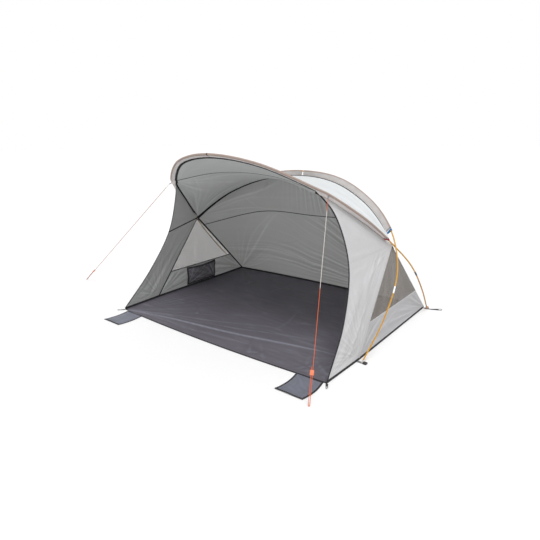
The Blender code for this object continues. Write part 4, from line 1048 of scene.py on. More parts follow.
# %% Sides
window_steps = 4 * fine
skirt_steps = 12 * fine
wing_rows = len(opening_edge) - wing_seam_row - 1
wing_line = edge(wing_seam, wing_seam_outs)
wing_upper_edges = (point_edge(crossing_hold, wing_seam_row), edge(opening_edge[:wing_seam_row + 1]),
                    edge(roof_side[0][::-1], roof_side[1][::-1]), wing_line)
wing_lower_edges = (wing_line, between(foot_hold, front_hold, side_steps),
                    between(crossing_hold, foot_hold, wing_rows), edge(opening_edge[wing_seam_row:]))
window_edges = (point_edge(crossing_hold, window_steps), between(window_front, window_rear, window_steps),
                between(crossing_hold, window_front, window_steps), between(crossing_hold, window_rear, window_steps))
skirt_edges = (between(window_front, window_rear, skirt_steps), between(foot_hold, rear_hold, skirt_steps),
               between(window_front, foot_hold, window_steps), between(window_rear, rear_hold, window_steps))
over_leg = 2 * cloth_crossing - foot_base
leg_strip = 0.75 * foot_base + 0.25 * front_base
skirt_pull = {"right": 0.6, "left": 1.05}


def on_side(edges, side):
    return edges if side == "right" else tuple(flipped(each) for each in edges)


for side, sign in sides.items():
    crossing_here, visor_here, front_here, foot_here, rear_here = (
        place * sign for place in (cloth_crossing, visor_corner, front_base, foot_base, rear_base))
    pull = skirt_pull[side]
    panel(f"wing_upper_cloth_{side}", f"wing_upper_{side}", on_side(wing_upper_edges, side), shell,
          shape=(0.005, 0.0, 0), folds=(5, 0.12, 0.0010), seed=13,
          fans=[(crossing_here, 0.8, 7, 0.0016), (visor_here, 0.5, 8, 0.0018)])
    panel(f"wing_lower_cloth_{side}", f"wing_lower_{side}", on_side(wing_lower_edges, side), shell,
          shape=(0.010, 0.003, 3), folds=(7, 0.10, 0.0014), seed=17, fineness=2,
          fans=[(crossing_here, 1.3, 13, 0.0030), (over_leg * sign, 4.5, 120, 0.0042, leg_strip * sign, 0.10),
                (front_here, 0.6, 17, 0.0038), (foot_here, 0.8, 23, 0.0022)])
    panel(f"window_cloth_{side}", f"window_mesh_{side}", on_side(window_edges, side), [window_net],
          fans=[(crossing_here, 0.9, 6, 0.0012)], seed=19)
    panel(f"skirt_cloth_{side}", f"skirt_{side}", on_side(skirt_edges, side), [skirt_outside, skirt_inside],
          folds=(10, 0.07, 0.0020 * pull), seed=23,
          fans=[(rear_here, 0.9, 21, 0.0080 * pull), (foot_here, 0.7, 17, 0.0070 * pull)])

# %% [markdown]
# ## Sweeping a profile along a line
# Tapes, bindings, hems and cords are all a profile that is carried along a line. The helper builds one
# closed body for each line, and several bodies can share an object. Its chart runs across and along the
# tape, so that the ribs of the weave follow it.

# %% Sweeps
def lofted(rings, line):
    """Points, faces and chart of a closed body through rings of corners. The ends are closed."""
    index = np.arange(rings.shape[0] * rings.shape[1]).reshape(rings.shape[:2])
    after = np.roll(index, -1, axis=1)
    quads = np.stack([index[:-1], after[:-1], after[1:], index[1:]], axis=-1).reshape(-1, 4)
    faces = [list(quad) for quad in quads] + [list(index[0])[::-1], list(index[-1])]
    chart = np.stack(np.broadcast_arrays(along(rings[0])[None, :], along(line)[:, None]), axis=-1)
    return rings.reshape(-1, 3), faces, chart.reshape(-1, 2)


def swept(line, across, up, profile):
    """The body that a profile makes when it is carried along a line."""
    profile = np.asarray(profile, float)
    across, up = (np.broadcast_to(axis, line.shape) for axis in (across, up))
    rings = line[:, None] + across[:, None] * profile[None, :, :1] + up[:, None] * profile[None, :, 1:]
    return lofted(rings, line)


def combined(name, parts, material, body="tent", offset=to_frame, replaces=()):
    """One object from several closed bodies."""
    points = np.vstack([part[0] for part in parts]) + offset
    chart = np.vstack([part[2] for part in parts])
    faces, count = [], 0
    for part_points, part_faces, _ in parts:
        faces += [[corner + count for corner in face] for face in part_faces]
        count += len(part_points)
    mesh = bpy.data.meshes.new(name)
    mesh.from_pydata(points.tolist(), [], faces)
    corners = np.concatenate([np.asarray(face, int) for face in faces])
    mesh.uv_layers.new(name="chart").data.foreach_set("uv", chart[corners].reshape(-1))
    mesh.materials.append(material)
    return declared(placed(name, tidied(mesh, 0)), body, replaces)

# %% [markdown]
# ## Seams
# Where two panels meet, a tape covers the seam inside. It is folded lengthwise, so that each half lies flat
# on its own panel. The main seams, which carry the poles, have a heavy black tape, and the others a narrow
# one. Outside, the cloth is folded over and sewn down with two rows of stitches.

# %% Where a seam runs
edge_places = {"low": np.s_[0], "high": np.s_[-1], "start": np.s_[:, 0], "end": np.s_[:, -1]}
inner_places = {"low": np.s_[2], "high": np.s_[-3], "start": np.s_[:, 2], "end": np.s_[:, -3]}
tape_step = 0.014


def square_to(vectors, *axes):
    """The vectors without what they have along the axes, at unit length."""
    for axis in axes:
        vectors = vectors - axis * np.sum(vectors * axis, axis=-1, keepdims=True)
    return unit(vectors)


def cloth_edge(name, side):
    """An edge of a panel at even steps: its line, the way into the panel, and the way out of the tent."""
    grid, normals = cloths[name]
    line = grid[edge_places[side]]
    places = along(line)
    wanted = np.linspace(0, places[-1], max(3, int(places[-1] / tape_step)) + 1)
    inward = interpolated(wanted, places, grid[inner_places[side]] - line)
    outs = interpolated(wanted, places, normals[edge_places[side]])
    line = interpolated(wanted, places, line)
    run = unit(np.gradient(line, axis=0))
    inward = square_to(inward, run)
    return line, inward, square_to(outs, run, inward)


def matched(vectors, count):
    """Vectors along a line, for that many even steps of another line."""
    return interpolated(np.linspace(0, 1, count), np.linspace(0, 1, len(vectors)), vectors)


def seam_between(name, side, other=None, other_side=None):
    """A seam's line, and the ways into and out of the panel on either side of it."""
    line, inward, outs = cloth_edge(name, side)
    if other is None:
        return line, (inward, outs), (-inward, outs)
    other_line, other_in, other_outs = cloth_edge(other, other_side)
    if np.linalg.norm(other_line[0] - line[0]) > np.linalg.norm(other_line[-1] - line[0]):
        other_in, other_outs = other_in[::-1], other_outs[::-1]
    run = unit(np.gradient(line, axis=0))
    other_in = square_to(matched(other_in, len(line)), run)
    return line, (inward, outs), (other_in, square_to(matched(other_outs, len(line)), run, other_in))


def folded_tape(seam, face, width, thickness, lift=sheet_thickness / 2 + 0.0001):
    """A tape over a seam: face is 1 outside and -1 inside. Each half lies flat on its own panel."""
    line, (near_in, near_out), (far_in, far_out) = seam
    near_up, far_up = near_out * face, far_out * face
    ridge = unit(near_up + far_up)
    ridge = ridge / np.maximum(np.sum(ridge * near_up, axis=1, keepdims=True), 0.4)
    half, top = width / 2, lift + thickness
    corners = [
        line + near_in * half + near_up * lift,
        line + near_in * half * 0.96 + near_up * top,
        line + ridge * top,
        line + far_in * half * 0.96 + far_up * top,
        line + far_in * half + far_up * lift,
        line + ridge * lift,
    ]
    return lofted(np.stack(corners, axis=1), line)

# %% [markdown]
# A stitch is 3 mm of thread that stands a little proud of the tape. Each is a small closed spindle of only
# eight faces, so that whole seams can be sewn.

# %% Stitches
stitch_pitch = 0.0042
stitch_length = 0.0030
thread_radius = 0.00035


def stitches(line, outs, lift, pitch=stitch_pitch):
    places = along(line)
    wanted = np.linspace(0, places[-1], max(3, int(places[-1] / pitch)) + 1)
    line, outs = interpolated(wanted, places, line), unit(interpolated(wanted, places, outs))
    run = unit(np.gradient(line, axis=0))
    across = unit(np.cross(run, outs))
    up = np.cross(across, run)
    ahead, aside, above = run * stitch_length / 2, across * thread_radius, up * thread_radius
    spokes = [ahead, aside, above, -aside, -above, -ahead]
    points = np.stack([line + up * lift + spoke for spoke in spokes], axis=1).reshape(-1, 3)
    faces = []
    for first in range(0, len(points), len(spokes)):
        for side in range(4):
            near, far = first + 1 + side, first + 1 + (side + 1) % 4
            faces += [[first, near, far], [first + 5, far, near]]
    return points, faces, np.zeros((len(points), 2))

# %% Tapes and stitches on the seams
heavy_tape = (0.018, 0.0012)
arch_tape = (0.034, 0.0012)
leg_tape = (0.012, 0.0009)
light_tape = (0.0075, 0.0009)
patch_tape = (0.032, 0.0016)
tip_tape = (0.015, 0.0012)
outer_fell = (0.0100, 0.0005)
rim_lift = 0.0022
stitch_inset = 0.0032
stitch_lift = sheet_thickness / 2 + 0.0007


def seam_start(seam):
    """The first rows of a seam, for a patch at its corner."""
    return (seam[0][:4], *(tuple(rows[:4] for rows in half) for half in seam[1:]))


def taped(name, seams, face, tape, material):
    combined(name, [folded_tape(seam, face, *tape) for seam in seams], material)


heavy_seams, leg_seams = [], []
light_seams = [
    seam_between("visor_cloth", "end", "roof_cloth", "low"),
    seam_between("rear_upper_cloth", "high", "rear_lower_cloth", "low"),
]
for side in sides:
    roof_edge = "end" if side == "right" else "start"
    wing, lower_wing, skirt = f"wing_upper_cloth_{side}", f"wing_lower_cloth_{side}", f"skirt_cloth_{side}"
    heavy_seams += [seam_between("roof_cloth", roof_edge, wing, "start"),
                    seam_between("rear_upper_cloth", roof_edge, f"window_cloth_{side}", "end"),
                    seam_between("rear_lower_cloth", roof_edge, skirt, "end")]
    leg_seams += [seam_between(wing, "end", lower_wing, "low"), seam_between(lower_wing, "start")]
    light_seams.append(seam_between(skirt, "low"))
rim_edge, rim_in, rim_out = cloth_edge("visor_cloth", "start")
rim_run = unit(np.gradient(rim_edge, axis=0))
to_pole = square_to(matched(rim_outs, len(rim_edge)), rim_run)
rim_beside = unit(np.cross(rim_run, to_pole))
rim_beside = rim_beside * np.sign(np.sum(rim_beside * rim_out, axis=1, keepdims=True))
rim_seam = (rim_edge, (rim_in, rim_out), (to_pole, rim_beside))
heavy_parts = [folded_tape(seam, -1, *heavy_tape) for seam in heavy_seams]
heavy_parts.append(folded_tape(rim_seam, -1, *heavy_tape, rim_lift))
heavy_parts += [folded_tape(seam_start(seam), -1, *patch_tape) for seam in heavy_seams[::3]]
heavy_parts.append(folded_tape(seam_between("rear_upper_cloth", "low", "roof_cloth", "high"), -1, *arch_tape))
combined("heavy_seam_tape", heavy_parts, black_tape)
taped("window_tip_patches", [seam_start(seam) for seam in heavy_seams[1::3]], 1, tip_tape, black_tape)
taped("leg_seam_tape", leg_seams, -1, leg_tape, black_tape)
taped("light_seam_tape", light_seams, -1, light_tape, dark_seam)
light_seams += leg_seams
taped("felled_seams", light_seams, 1, outer_fell, shell_outside)
rows = [stitches(line + inward * stitch_inset, outs, stitch_lift)
        for line, *halves in light_seams for inward, outs in halves]
combined("seam_stitches", rows, seam_thread)
print("taped", len(heavy_parts), "heavy seams and", len(light_seams), "light ones")

# %% [markdown]
# ## The door's edge
# A dark tape is folded round the free edge of each wing, from the visor's corner to the floor, and sewn
# through both layers.

# %% Door binding
binding_width = 0.010
binding_thickness = 0.0026


def folded_binding(line, outs, inward, width, thickness):
    """A tape folded round a free edge. Its middle lies inside the edge by nearly half its width."""
    run = unit(np.gradient(line, axis=0))
    up, across = square_to(outs, run), square_to(inward, run)
    half, deep = width / 2, thickness / 2
    profile = [(-half, -deep * 0.5), (-half * 0.8, -deep), (half, -deep * 0.8), (half, deep * 0.8),
               (-half * 0.8, deep), (-half, deep * 0.5)]
    return swept(line + across * half * 0.9, across, up, profile)


for side in sides:
    upper_grid, upper_normals = cloths[f"wing_upper_cloth_{side}"]
    lower_grid, lower_normals = cloths[f"wing_lower_cloth_{side}"]
    door_line = np.vstack([upper_grid[-1], lower_grid[1:, -1]])
    door_outs = np.vstack([upper_normals[-1], lower_normals[1:, -1]])
    door_in = unit(np.vstack([upper_grid[-3] - upper_grid[-1], (lower_grid[:, -3] - lower_grid[:, -1])[1:]]))
    places = along(door_line)
    wanted = np.linspace(0, places[-1], int(places[-1] / tape_step))
    door_line, door_outs, door_in = (interpolated(wanted, places, row) for row in (door_line, door_outs, door_in))
    door_outs = unit(door_outs)
    binding = folded_binding(door_line, door_outs, door_in, binding_width, binding_thickness)
    combined(f"door_binding_{side}", [binding], dark_binding)
    sewn = door_line + unit(door_in) * binding_width * 0.62
    rows = [stitches(sewn, door_outs * face, binding_thickness / 2) for face in (1, -1)]
    combined(f"door_stitches_{side}", rows, dark_thread)
print("bound the door")

# %% [markdown]
# ## Sleeves
# A sleeve is a strip of cloth folded round the pole and sewn to the shell, so its section is a long drop:
# round at the pole, with two layers that come together at the seam. Along the wings the front sleeve's lower
# layer reaches past the seam and is sewn to the wing. Each sleeve is in two halves that meet over the top.
# The pole pulls it into small puckers along its length.

# %% One sleeve
sleeve_radius = 0.0078
sleeve_cloth = 0.0006
sleeve_step = 0.010
chart_width = 0.060
flap_reach = 0.032
flap_lift = 0.003
seam_clear = 0.0015
skew_ramp = 0.06
outer_half = 0.0009
inner_half = 0.0003
round_from = math.radians(75)
round_to = math.radians(285)
pucker_height = 0.0007
pucker_waves = (61.0, 97.0, 149.0, 223.0)


def lower_sleeve_seam():
    """The front seam, but on the wing it runs a little below, where the sleeve's lower layer is sewn on."""
    grid, normals = cloths["wing_upper_cloth_right"]
    line = front_seam.copy()
    for row, points in enumerate(grid):
        places = along(points)
        ramp = min(1.0, (len(grid) - 1 - row) / 8)
        wanted = np.array([min(flap_reach * ramp, 0.9 * places[-1])])
        raised = interpolated(wanted, places, normals[row]) * flap_lift * ramp
        spot = interpolated(wanted, places, points) + raised
        line[len(line) - 1 - row] = spot[0] if places[-1] > 0 else line[-1]
    return line


def drop_half(reach, edge_half, radius):
    """One layer of a drop, from its seam to the pole: distances towards the seam and to the side."""
    shares = np.array([1.0, 0.8, 0.6, 0.4, 0.22])
    start_x, start_y = radius * math.cos(round_from), radius * math.sin(round_from)
    return np.stack([start_x + (reach - start_x) * shares,
                     edge_half + (start_y - edge_half) * (1 - shares) ** 1.25], axis=1)


def drop_profile(reach, low_reach, lean, edge_half, radius):
    """A drop from one seam round the pole to the lower one, and each point's share of the way to its seam."""
    upper = drop_half(reach, edge_half, radius)
    lower = drop_half(low_reach, edge_half, radius)[::-1] * (1, -1)
    turn_angles = np.linspace(round_from, round_to + lean, 9)
    round_part = np.stack([np.cos(turn_angles), np.sin(turn_angles)], axis=1) * radius
    leaned = lower @ np.array([[math.cos(lean), math.sin(lean)], [-math.sin(lean), math.cos(lean)]])
    shares = np.concatenate([upper[:, 0] / reach, np.zeros(len(round_part)), lower[:, 0] / low_reach])
    return np.vstack([upper, round_part, leaned]), np.clip(shares, 0, 1)


def sleeve(name, pole, seams, start, end, material, sign, node=None, swell=0.0, seed=1,
           skew=(0.0, 0.0)):
    """A length of sleeve. It swells past the sleeve's own radius, and its edge by the seam runs ahead by its skew."""
    pole = pole[:len(seams[0])]
    places = along(pole)
    count = max(3, int((end - start) / sleeve_step))
    wanted = np.linspace(start, end, count + 1)
    centres = interpolated(wanted, places, pole)
    reaches, low_reaches = (interpolated(wanted, places, seam) - centres for seam in seams)
    runs = unit(np.gradient(centres, axis=0))
    reaches = reaches - runs * np.sum(reaches * runs, axis=1, keepdims=True)
    lengths = np.linalg.norm(reaches, axis=1)
    towards = unit(reaches)
    aside = np.cross(runs, towards)
    phases = np.random.default_rng(seed).uniform(0, 6.28, 4)
    radius = sleeve_radius + swell
    rings, charts = [], []
    for index, lay in enumerate(wanted):
        reach = lengths[index] - seam_clear
        low_x, low_y = low_reaches[index] @ towards[index], low_reaches[index] @ aside[index]
        low_reach, lean = math.hypot(low_x, low_y) - seam_clear, min(0.0, math.atan2(low_y, low_x))
        slant = runs[index] * (skew[0] + (skew[1] - skew[0]) * np.clip((lay - end) / skew_ramp + 1, 0, 1))
        outer = drop_profile(reach, low_reach, lean, outer_half, radius)
        inner = drop_profile(reach - sleeve_cloth, low_reach - sleeve_cloth, lean, inner_half, radius - sleeve_cloth)
        pucker = sum(np.sin(lay * wave + phase) for wave, phase in zip(pucker_waves, phases))
        for profile, share in (outer, inner):
            moved = profile[:, 1] + pucker_height * pucker * np.sin(math.pi * share)
            rings.append(centres[index] + towards[index] * profile[:, :1] + aside[index] * moved[:, None]
                         + slant * share[:, None])
            charts.append(np.stack([share * chart_width, np.full(len(profile), lay)], axis=1))
    points = np.vstack(rings)
    index = np.arange(len(points)).reshape(count + 1, 2, -1)
    grids = (index[:, 0], index[:, 1], index[:, :, 0], index[:, :, -1], index[0], index[-1])
    faces = np.vstack([quads_of(grid) for grid in grids]).tolist()
    combined(name, [(points * sign, faces, np.vstack(charts))], material, replaces=[node] if node else [])

# %% [markdown]
# A webbing band ends each sleeve just above the crossing: red on the front pole, blue on the rear one, so
# that the poles aren't mixed up.

# %% Sleeves and their webbing ends
tab_swell = 0.0008
hem_swell = 0.0006
hem_near, hem_far = 0.008, 0.012
top_under, top_over = 0.001, 0.003
for label, pole, seams, end_row, band, tape, slot_name, tab_width, seed, skew, split in (
    ("front", front_pole, (front_seam, lower_sleeve_seam()), front_arch_end - fine, lit_front_band, red_tape,
     "red_webbing", 0.022, 3, -0.016, 0.004),
    ("rear", rear_pole, (rear_seam_half, rear_seam_half), rear_arch_end - 2 * fine, shaded_rear_band, blue_tape,
     "blue_webbing", 0.014, 8, 0.018, 0.016),
):
    end = along(pole)[end_row] - tab_width - gap
    for side, sign in sides.items():
        sleeve(f"{label}_sleeve_cloth_{side}", pole, seams, split / 2, end, band, sign,
               f"{label}_sleeve_{side}", seed=seed, skew=(0.0, skew))
        sleeve(f"{label}_tab_webbing_{side}", pole, seams, end, end + tab_width, tape, sign,
               f"{label}_tab_{side}", tab_swell, skew=(skew, skew))
        sleeve(f"{label}_sleeve_hem_{side}", pole, seams, end - hem_far, end - hem_near, dark_binding, sign,
               swell=hem_swell, skew=(skew * 0.8, skew * 0.8))
        if label == "front":
            sleeve(f"front_sleeve_top_{side}", pole, seams, split / 2 - top_under, split / 2 + top_over,
                   dark_binding, sign, swell=hem_swell)
print("made four sleeves and their ends")

# %% [markdown]
# ## Floor
# The floor is one piece of woven polyethylene. It lies flat, with low creases where it was folded. A dark hem
# stands up along its sides and rear, where the walls are sewn on, and lies flat along its front.

# %% Floor
floor_clear = 0.0012
floor_rows = 150
floor_columns = 190
highest_crease = 0.0095
ridge_wander = 0.012


def normals_along(grid, axis):
    """Normals of a grid that point the positive way along an axis."""
    normals = surface_normals(grid)
    return normals * np.sign(normals[:, :, axis:axis + 1])


def floor_grid():
    """The floor's points. Its sides run straight from corner to corner, with a bend at the side foot."""
    low = bowed(front_corner[0], 0.0, -front_edge_bow, floor_columns)
    high = bowed(rear_corner[0], rear_corner[1], rear_edge_bow, floor_columns)
    places = np.array([front_corner, side_foot, rear_corner])
    right_side = interpolated(np.linspace(0, along(places)[-1], floor_rows + 1), along(places), places)
    return patch(low, high, right_side * to_left, right_side)


def ridge_along(points, start, end, height, width):
    """A low ridge along a line, steeper on one side, highest in its middle third."""
    run = unit(end - start)
    away = points - start
    share = np.clip(away @ run / np.linalg.norm(end - start), 0, 1)
    side = away @ np.array([-run[1], run[0]]) - ridge_wander * np.sin(share * 9)
    slope = np.where(side > 0, side / (width * 2.2), -side / (width * 0.8))
    return height * np.exp(-slope) * np.sin(math.pi * share ** 0.8) ** 0.7


grid = floor_grid()
flat_points = grid[:, :, :2]
draw = np.random.default_rng(31)
height = packing_folds(flat_points, 26, 0.16, 0.0014, draw)
for place, reach, count, size in (((-1.02, 0.0), 1.6, 15, 0.0020), ((1.02, 0.38), 1.2, 9, 0.0016),
                                  ((1.0, 1.55), 1.0, 8, 0.0014), ((-1.0, 1.55), 1.0, 8, 0.0014)):
    height += fan(flat_points, np.array(place), reach, count, size, draw)
height = (np.abs(height) * 0.8 + np.maximum(height, 0) * 0.4) * edge_fade(grid, 0.06)
left_corner = np.array([-1.0, 0.0])
for end, ridge_height, ridge_width in (((1.030, 0.370), 0.0080, 0.030), ((0.70, 0.46), 0.0022, 0.022),
                                       ((0.45, 0.52), 0.0020, 0.026), ((0.10, 0.60), 0.0012, 0.018),
                                       ((0.60, 0.14), 0.0014, 0.014)):
    height += ridge_along(flat_points, left_corner, np.array(end), ridge_height, ridge_width)
height = np.minimum(height, highest_crease)
grid = grid + up_axis * floor_clear
grid[:, :, 2] += height
floor_cloth = sheet_object("floor_cloth", grid, normals_along(grid, 2), [floor_sheet], height=height)
declared(floor_cloth, nodes=["groundsheet"])
print("floor", grid.shape, "highest crease", round(float(grid[:, :, 2].max()) * 1000, 1), "mm")

# %% Hem
hem_height = 0.0200
hem_thickness = 0.0034
front_hem_profile = [(-0.006, -0.0006), (-0.0055, -0.0011), (0.0055, -0.0011), (0.006, 0.0), (0.0055, 0.0011),
                     (-0.0055, 0.0011)]
front_hem_place = np.array([0.0, 0.004, 0.0013])
front_stitch_place = np.array([0.0, 0.0080, 0.0026])


def hem_strip(line, height, thickness):
    """An upright strip that stands on the ground along a line."""
    across = unit(np.cross(unit(np.gradient(line, axis=0)), up_axis))
    half = thickness / 2
    profile = [(-half, 0.0), (half, 0.0), (half, height * 0.9), (half * 0.4, height), (-half * 0.4, height),
               (-half, height * 0.9)]
    return swept(line, across, up_axis, profile)


edge_lines = [resampled(rear_edge, 0.03)]
for sign in sides.values():
    for start, end in ((front_corner, side_foot), (side_foot, rear_corner)):
        edge_lines.append(straight(start * sign, end * sign, 24))
hem_parts = [hem_strip(line, hem_height, hem_thickness) for line in edge_lines]
front_line = bowed(front_corner[0], 0.0, -front_edge_bow, 80)
front_run = unit(np.gradient(front_line, axis=0))
front_across = unit(np.cross(up_axis, front_run))
hem_parts.append(swept(front_line + front_hem_place, front_across, up_axis, front_hem_profile))
combined("hem_tape", hem_parts, dark_binding)
hem_rows = [stitches(front_line + front_stitch_place, np.tile(up_axis, (len(front_line), 1)), 0.0)]
combined("hem_stitches", hem_rows, dark_thread)

# %% [markdown]
# ## Pocket
# A mesh pocket is sewn to the left skirt inside. It stands full in the middle and is bound all round. It
# is laid on the skirt's own creased surface, so that it never comes through.

# %% Pocket
pocket_front, pocket_rear, pocket_bottom, pocket_top = 0.745, 1.140, 0.024, 0.208
pocket_fullness = 0.024
pocket_clear = 0.0035
pocket_binding = (0.017, 0.0034)
skirt_points = cloths["skirt_cloth_left"][0].reshape(-1, 3)


def skirt_wall(depth, height):
    """How far left the creased skirt is at a depth and a height, from its six nearest points."""
    away = np.hypot(skirt_points[:, 1] - depth, skirt_points[:, 2] - height)
    near = np.argsort(away)[:6]
    return np.average(skirt_points[near, 0], weights=1 / (away[near] + 0.002))


def pocket_point(share, up):
    depth = pocket_front + share * (pocket_rear - pocket_front)
    height = pocket_bottom + up * (pocket_top - pocket_bottom)
    full = math.sin(math.pi * share) * math.sin(math.pi / 2 * up) ** 0.6
    sag = 0.004 * math.sin(math.pi * share) * up * up
    return skirt_wall(depth, height) + pocket_clear + pocket_fullness * full, depth, height - sag


def free_edges(grid, normals, names):
    """For each named edge of a grid: its line, the way out, and the way into the cloth."""
    for name in names:
        line = grid[edge_places[name]]
        yield line, normals[edge_places[name]], unit(grid[inner_places[name]] - line)


pocket_grid = np.array([[pocket_point(share, up) for share in np.linspace(0, 1, 41)] for up in np.linspace(0, 1, 25)])
pocket_normals = normals_along(pocket_grid, 0)
draw = np.random.default_rng(41)
wrinkle = sum(fan(pocket_grid[:, :, 1:], np.array([depth, 0.04]), 0.4, 9, 0.0040, draw) for depth in (0.76, 1.12))
wrinkle = np.abs(wrinkle) * edge_fade(pocket_grid, 0.03, ("low", "start", "end"))
pocket_grid = pocket_grid + pocket_normals * wrinkle[:, :, None]
pocket_cloth = sheet_object("pocket_cloth", pocket_grid, pocket_normals, [pocket_net], 0.0006, wrinkle)
declared(pocket_cloth, nodes=["storage_pocket"])
pocket_edges = [folded_binding(*each, *pocket_binding)
                for each in free_edges(pocket_grid, pocket_normals, all_edges)]
combined("pocket_binding", pocket_edges, dark_binding)
print("made the pocket")

# %% [markdown]
# ## Straps and peg loops
# Straps are flat webbing. A plate with holes is quickest as a filled 2D curve with a small bevel, so that its
# edges are round; its chart is its own flat shape.

# %% Flat webbing
def arc(x, y, radius, start, sweep, steps):
    """Points on an arc, from a start angle in degrees."""
    turns = [math.radians(start + sweep * step / steps) for step in range(steps + 1)]
    return [(x + radius * math.cos(turn), y + radius * math.sin(turn)) for turn in turns]


def circle(x, y, radius, steps=24):
    return arc(x, y, radius, 0, 360, steps)[:-1]


def rounded_box(length, width, radius, quarter_steps=4):
    near, far, half = radius, length - radius, width / 2 - radius
    corners = ((far, half, 0), (near, half, 90), (near, -half, 180), (far, -half, 270))
    return [point for x, y, start in corners for point in arc(x, y, radius, start, 90, quarter_steps)]


def plate_mesh(name, loops, thickness, edge_round):
    curve = bpy.data.curves.new(name, "CURVE")
    curve.dimensions = "2D"
    curve.fill_mode = "BOTH"
    curve.bevel_depth = edge_round
    curve.bevel_resolution = 1
    curve.offset = -edge_round
    curve.extrude = thickness / 2 - edge_round
    for loop in loops:
        spline = curve.splines.new("POLY")
        spline.points.add(len(loop) - 1)
        for point, (x, y) in zip(spline.points, loop):
            point.co = (x, y, 0.0, 1.0)
        spline.use_cyclic_u = True
    guide = placed(name + "_guide", curve)
    graph = bpy.context.evaluated_depsgraph_get()
    mesh = bpy.data.meshes.new_from_object(guide.evaluated_get(graph))
    bpy.data.objects.remove(guide, do_unlink=True)
    mesh.materials.clear()
    for layer in list(mesh.uv_layers):
        mesh.uv_layers.remove(layer)
    layer = mesh.uv_layers.new(name="chart")
    for loop_data, corner in zip(layer.data, mesh.loops):
        x, y, _ = mesh.vertices[corner.vertex_index].co
        loop_data.uv = (y, x)
    return tidied(mesh)


def twisted(points, length, half_width):
    """A strap's points after a slight twist about its length, so that its far end stands on one edge."""
    x, y, z = np.asarray(points).T
    turn = strap_twist * np.clip(x / length, 0, 1)
    return np.stack([x, y * np.cos(turn) - z * np.sin(turn),
                     y * np.sin(turn) + z * np.cos(turn) + half_width * np.sin(turn)], axis=1)


def plate(name, loops, thickness, matrix, material, body="tent", nodes=(), edge_round=0.0004,
          twist=None):
    mesh = plate_mesh(name, loops, thickness, edge_round)
    if twist:
        points = twisted([tuple(vertex.co) for vertex in mesh.vertices], *twist)
        mesh.vertices.foreach_set("co", points.reshape(-1))
    mesh.materials.append(material)
    mesh.transform(matrix)
    return declared(placed(name, mesh), body, nodes)


def flat_matrix(start, direction, height):
    turn = Matrix.Rotation(math.atan2(direction[1], direction[0]), 4, "Z")
    return Matrix.Translation(Vector((*(np.asarray(start) + to_frame)[:2], height))) @ turn


def moved(parts, matrix):
    return [(np.array([matrix @ Vector(point) for point in points]), faces, chart) for points, faces, chart in parts]

# %% Straps with eyelets, and peg loops
strap_thickness = 0.0016
strap_width = 0.022
strap_height = 0.0004 + strap_thickness / 2
loop_width = 0.016
strap_twist = math.radians(40)
slot_radius = 0.0045
box_pitch = 0.0036
hole_radius = 0.0056
eyelet_radius = 0.0070
eyelet_ring, eyelet_height = 0.0018, 0.0011
toe_length, toe_overhang, toe_height = 0.026, 0.004, 0.011
toe_place = (0.010, 0.0, 0.0047)
cap_radius, cap_bore, cap_height = 0.0125, 0.0075, 0.015
cap_place = (0.0, 0.0, 0.009)
rear_strap_length = 0.056
side_strap_length = 0.052


def strap_place(pole, wall_start, wall_end):
    run = unit(wall_end - wall_start)
    direction = np.array([run[1], -run[0], 0.0])
    last = unit(pole[-1] - pole[-2])
    pin_place = pole[-1] + last * (pole[-1][2] - strap_height) / -last[2]
    out = np.dot(pin_place - wall_start, direction) - cloth_thickness - gap
    return pin_place - direction * out, direction, out


def eyelet(name, place, matrix, material, steps=28, around=8):
    """A turned ring pressed into the strap round the pin."""
    turn, angle = (2 * math.pi * number.reshape(-1) / count
                   for number, count in zip(np.indices((steps, around)), (steps, around)))
    radius = eyelet_radius + eyelet_ring * np.cos(angle)
    points = np.stack([place + radius * np.cos(turn), radius * np.sin(turn), eyelet_height * np.sin(angle)], axis=1)
    index = np.pad(np.arange(len(points)).reshape(steps, around), ((0, 1), (0, 1)), mode="wrap")
    ring = (points, quads_of(index).tolist(), np.zeros((len(points), 2)))
    combined(name, moved([ring], matrix), material, offset=0.0)


def stitched_box(length_from, length_to, half_width):
    """A box with a cross in it, as webbing is sewn down."""
    corners = [(length_from, -half_width), (length_to, -half_width), (length_to, half_width),
               (length_from, half_width), (length_from, -half_width), (length_to, half_width)]
    rows = []
    for start, end in [*zip(corners, corners[1:]), (corners[1], corners[3])]:
        line = straight((*start, strap_thickness / 2), (*end, strap_thickness / 2), 6)
        rows.append(stitches(line, np.tile(up_axis, (7, 1)), 0.0, box_pitch))
    return rows


def loop_outline(length):
    """A webbing loop seen from above: its outline, the slot for the peg, and where the slot starts."""
    half = loop_width / 2
    slot_end = length - half
    slot_start = slot_end - loop_width
    slot = arc(slot_end, 0.0, slot_radius, 90, -180, 12) + arc(slot_start, 0.0, slot_radius, 270, -180, 12)
    return [[(0.0, half), (0.0, -half), *arc(slot_end, 0.0, half, -90, 180, 12)], slot], slot_start


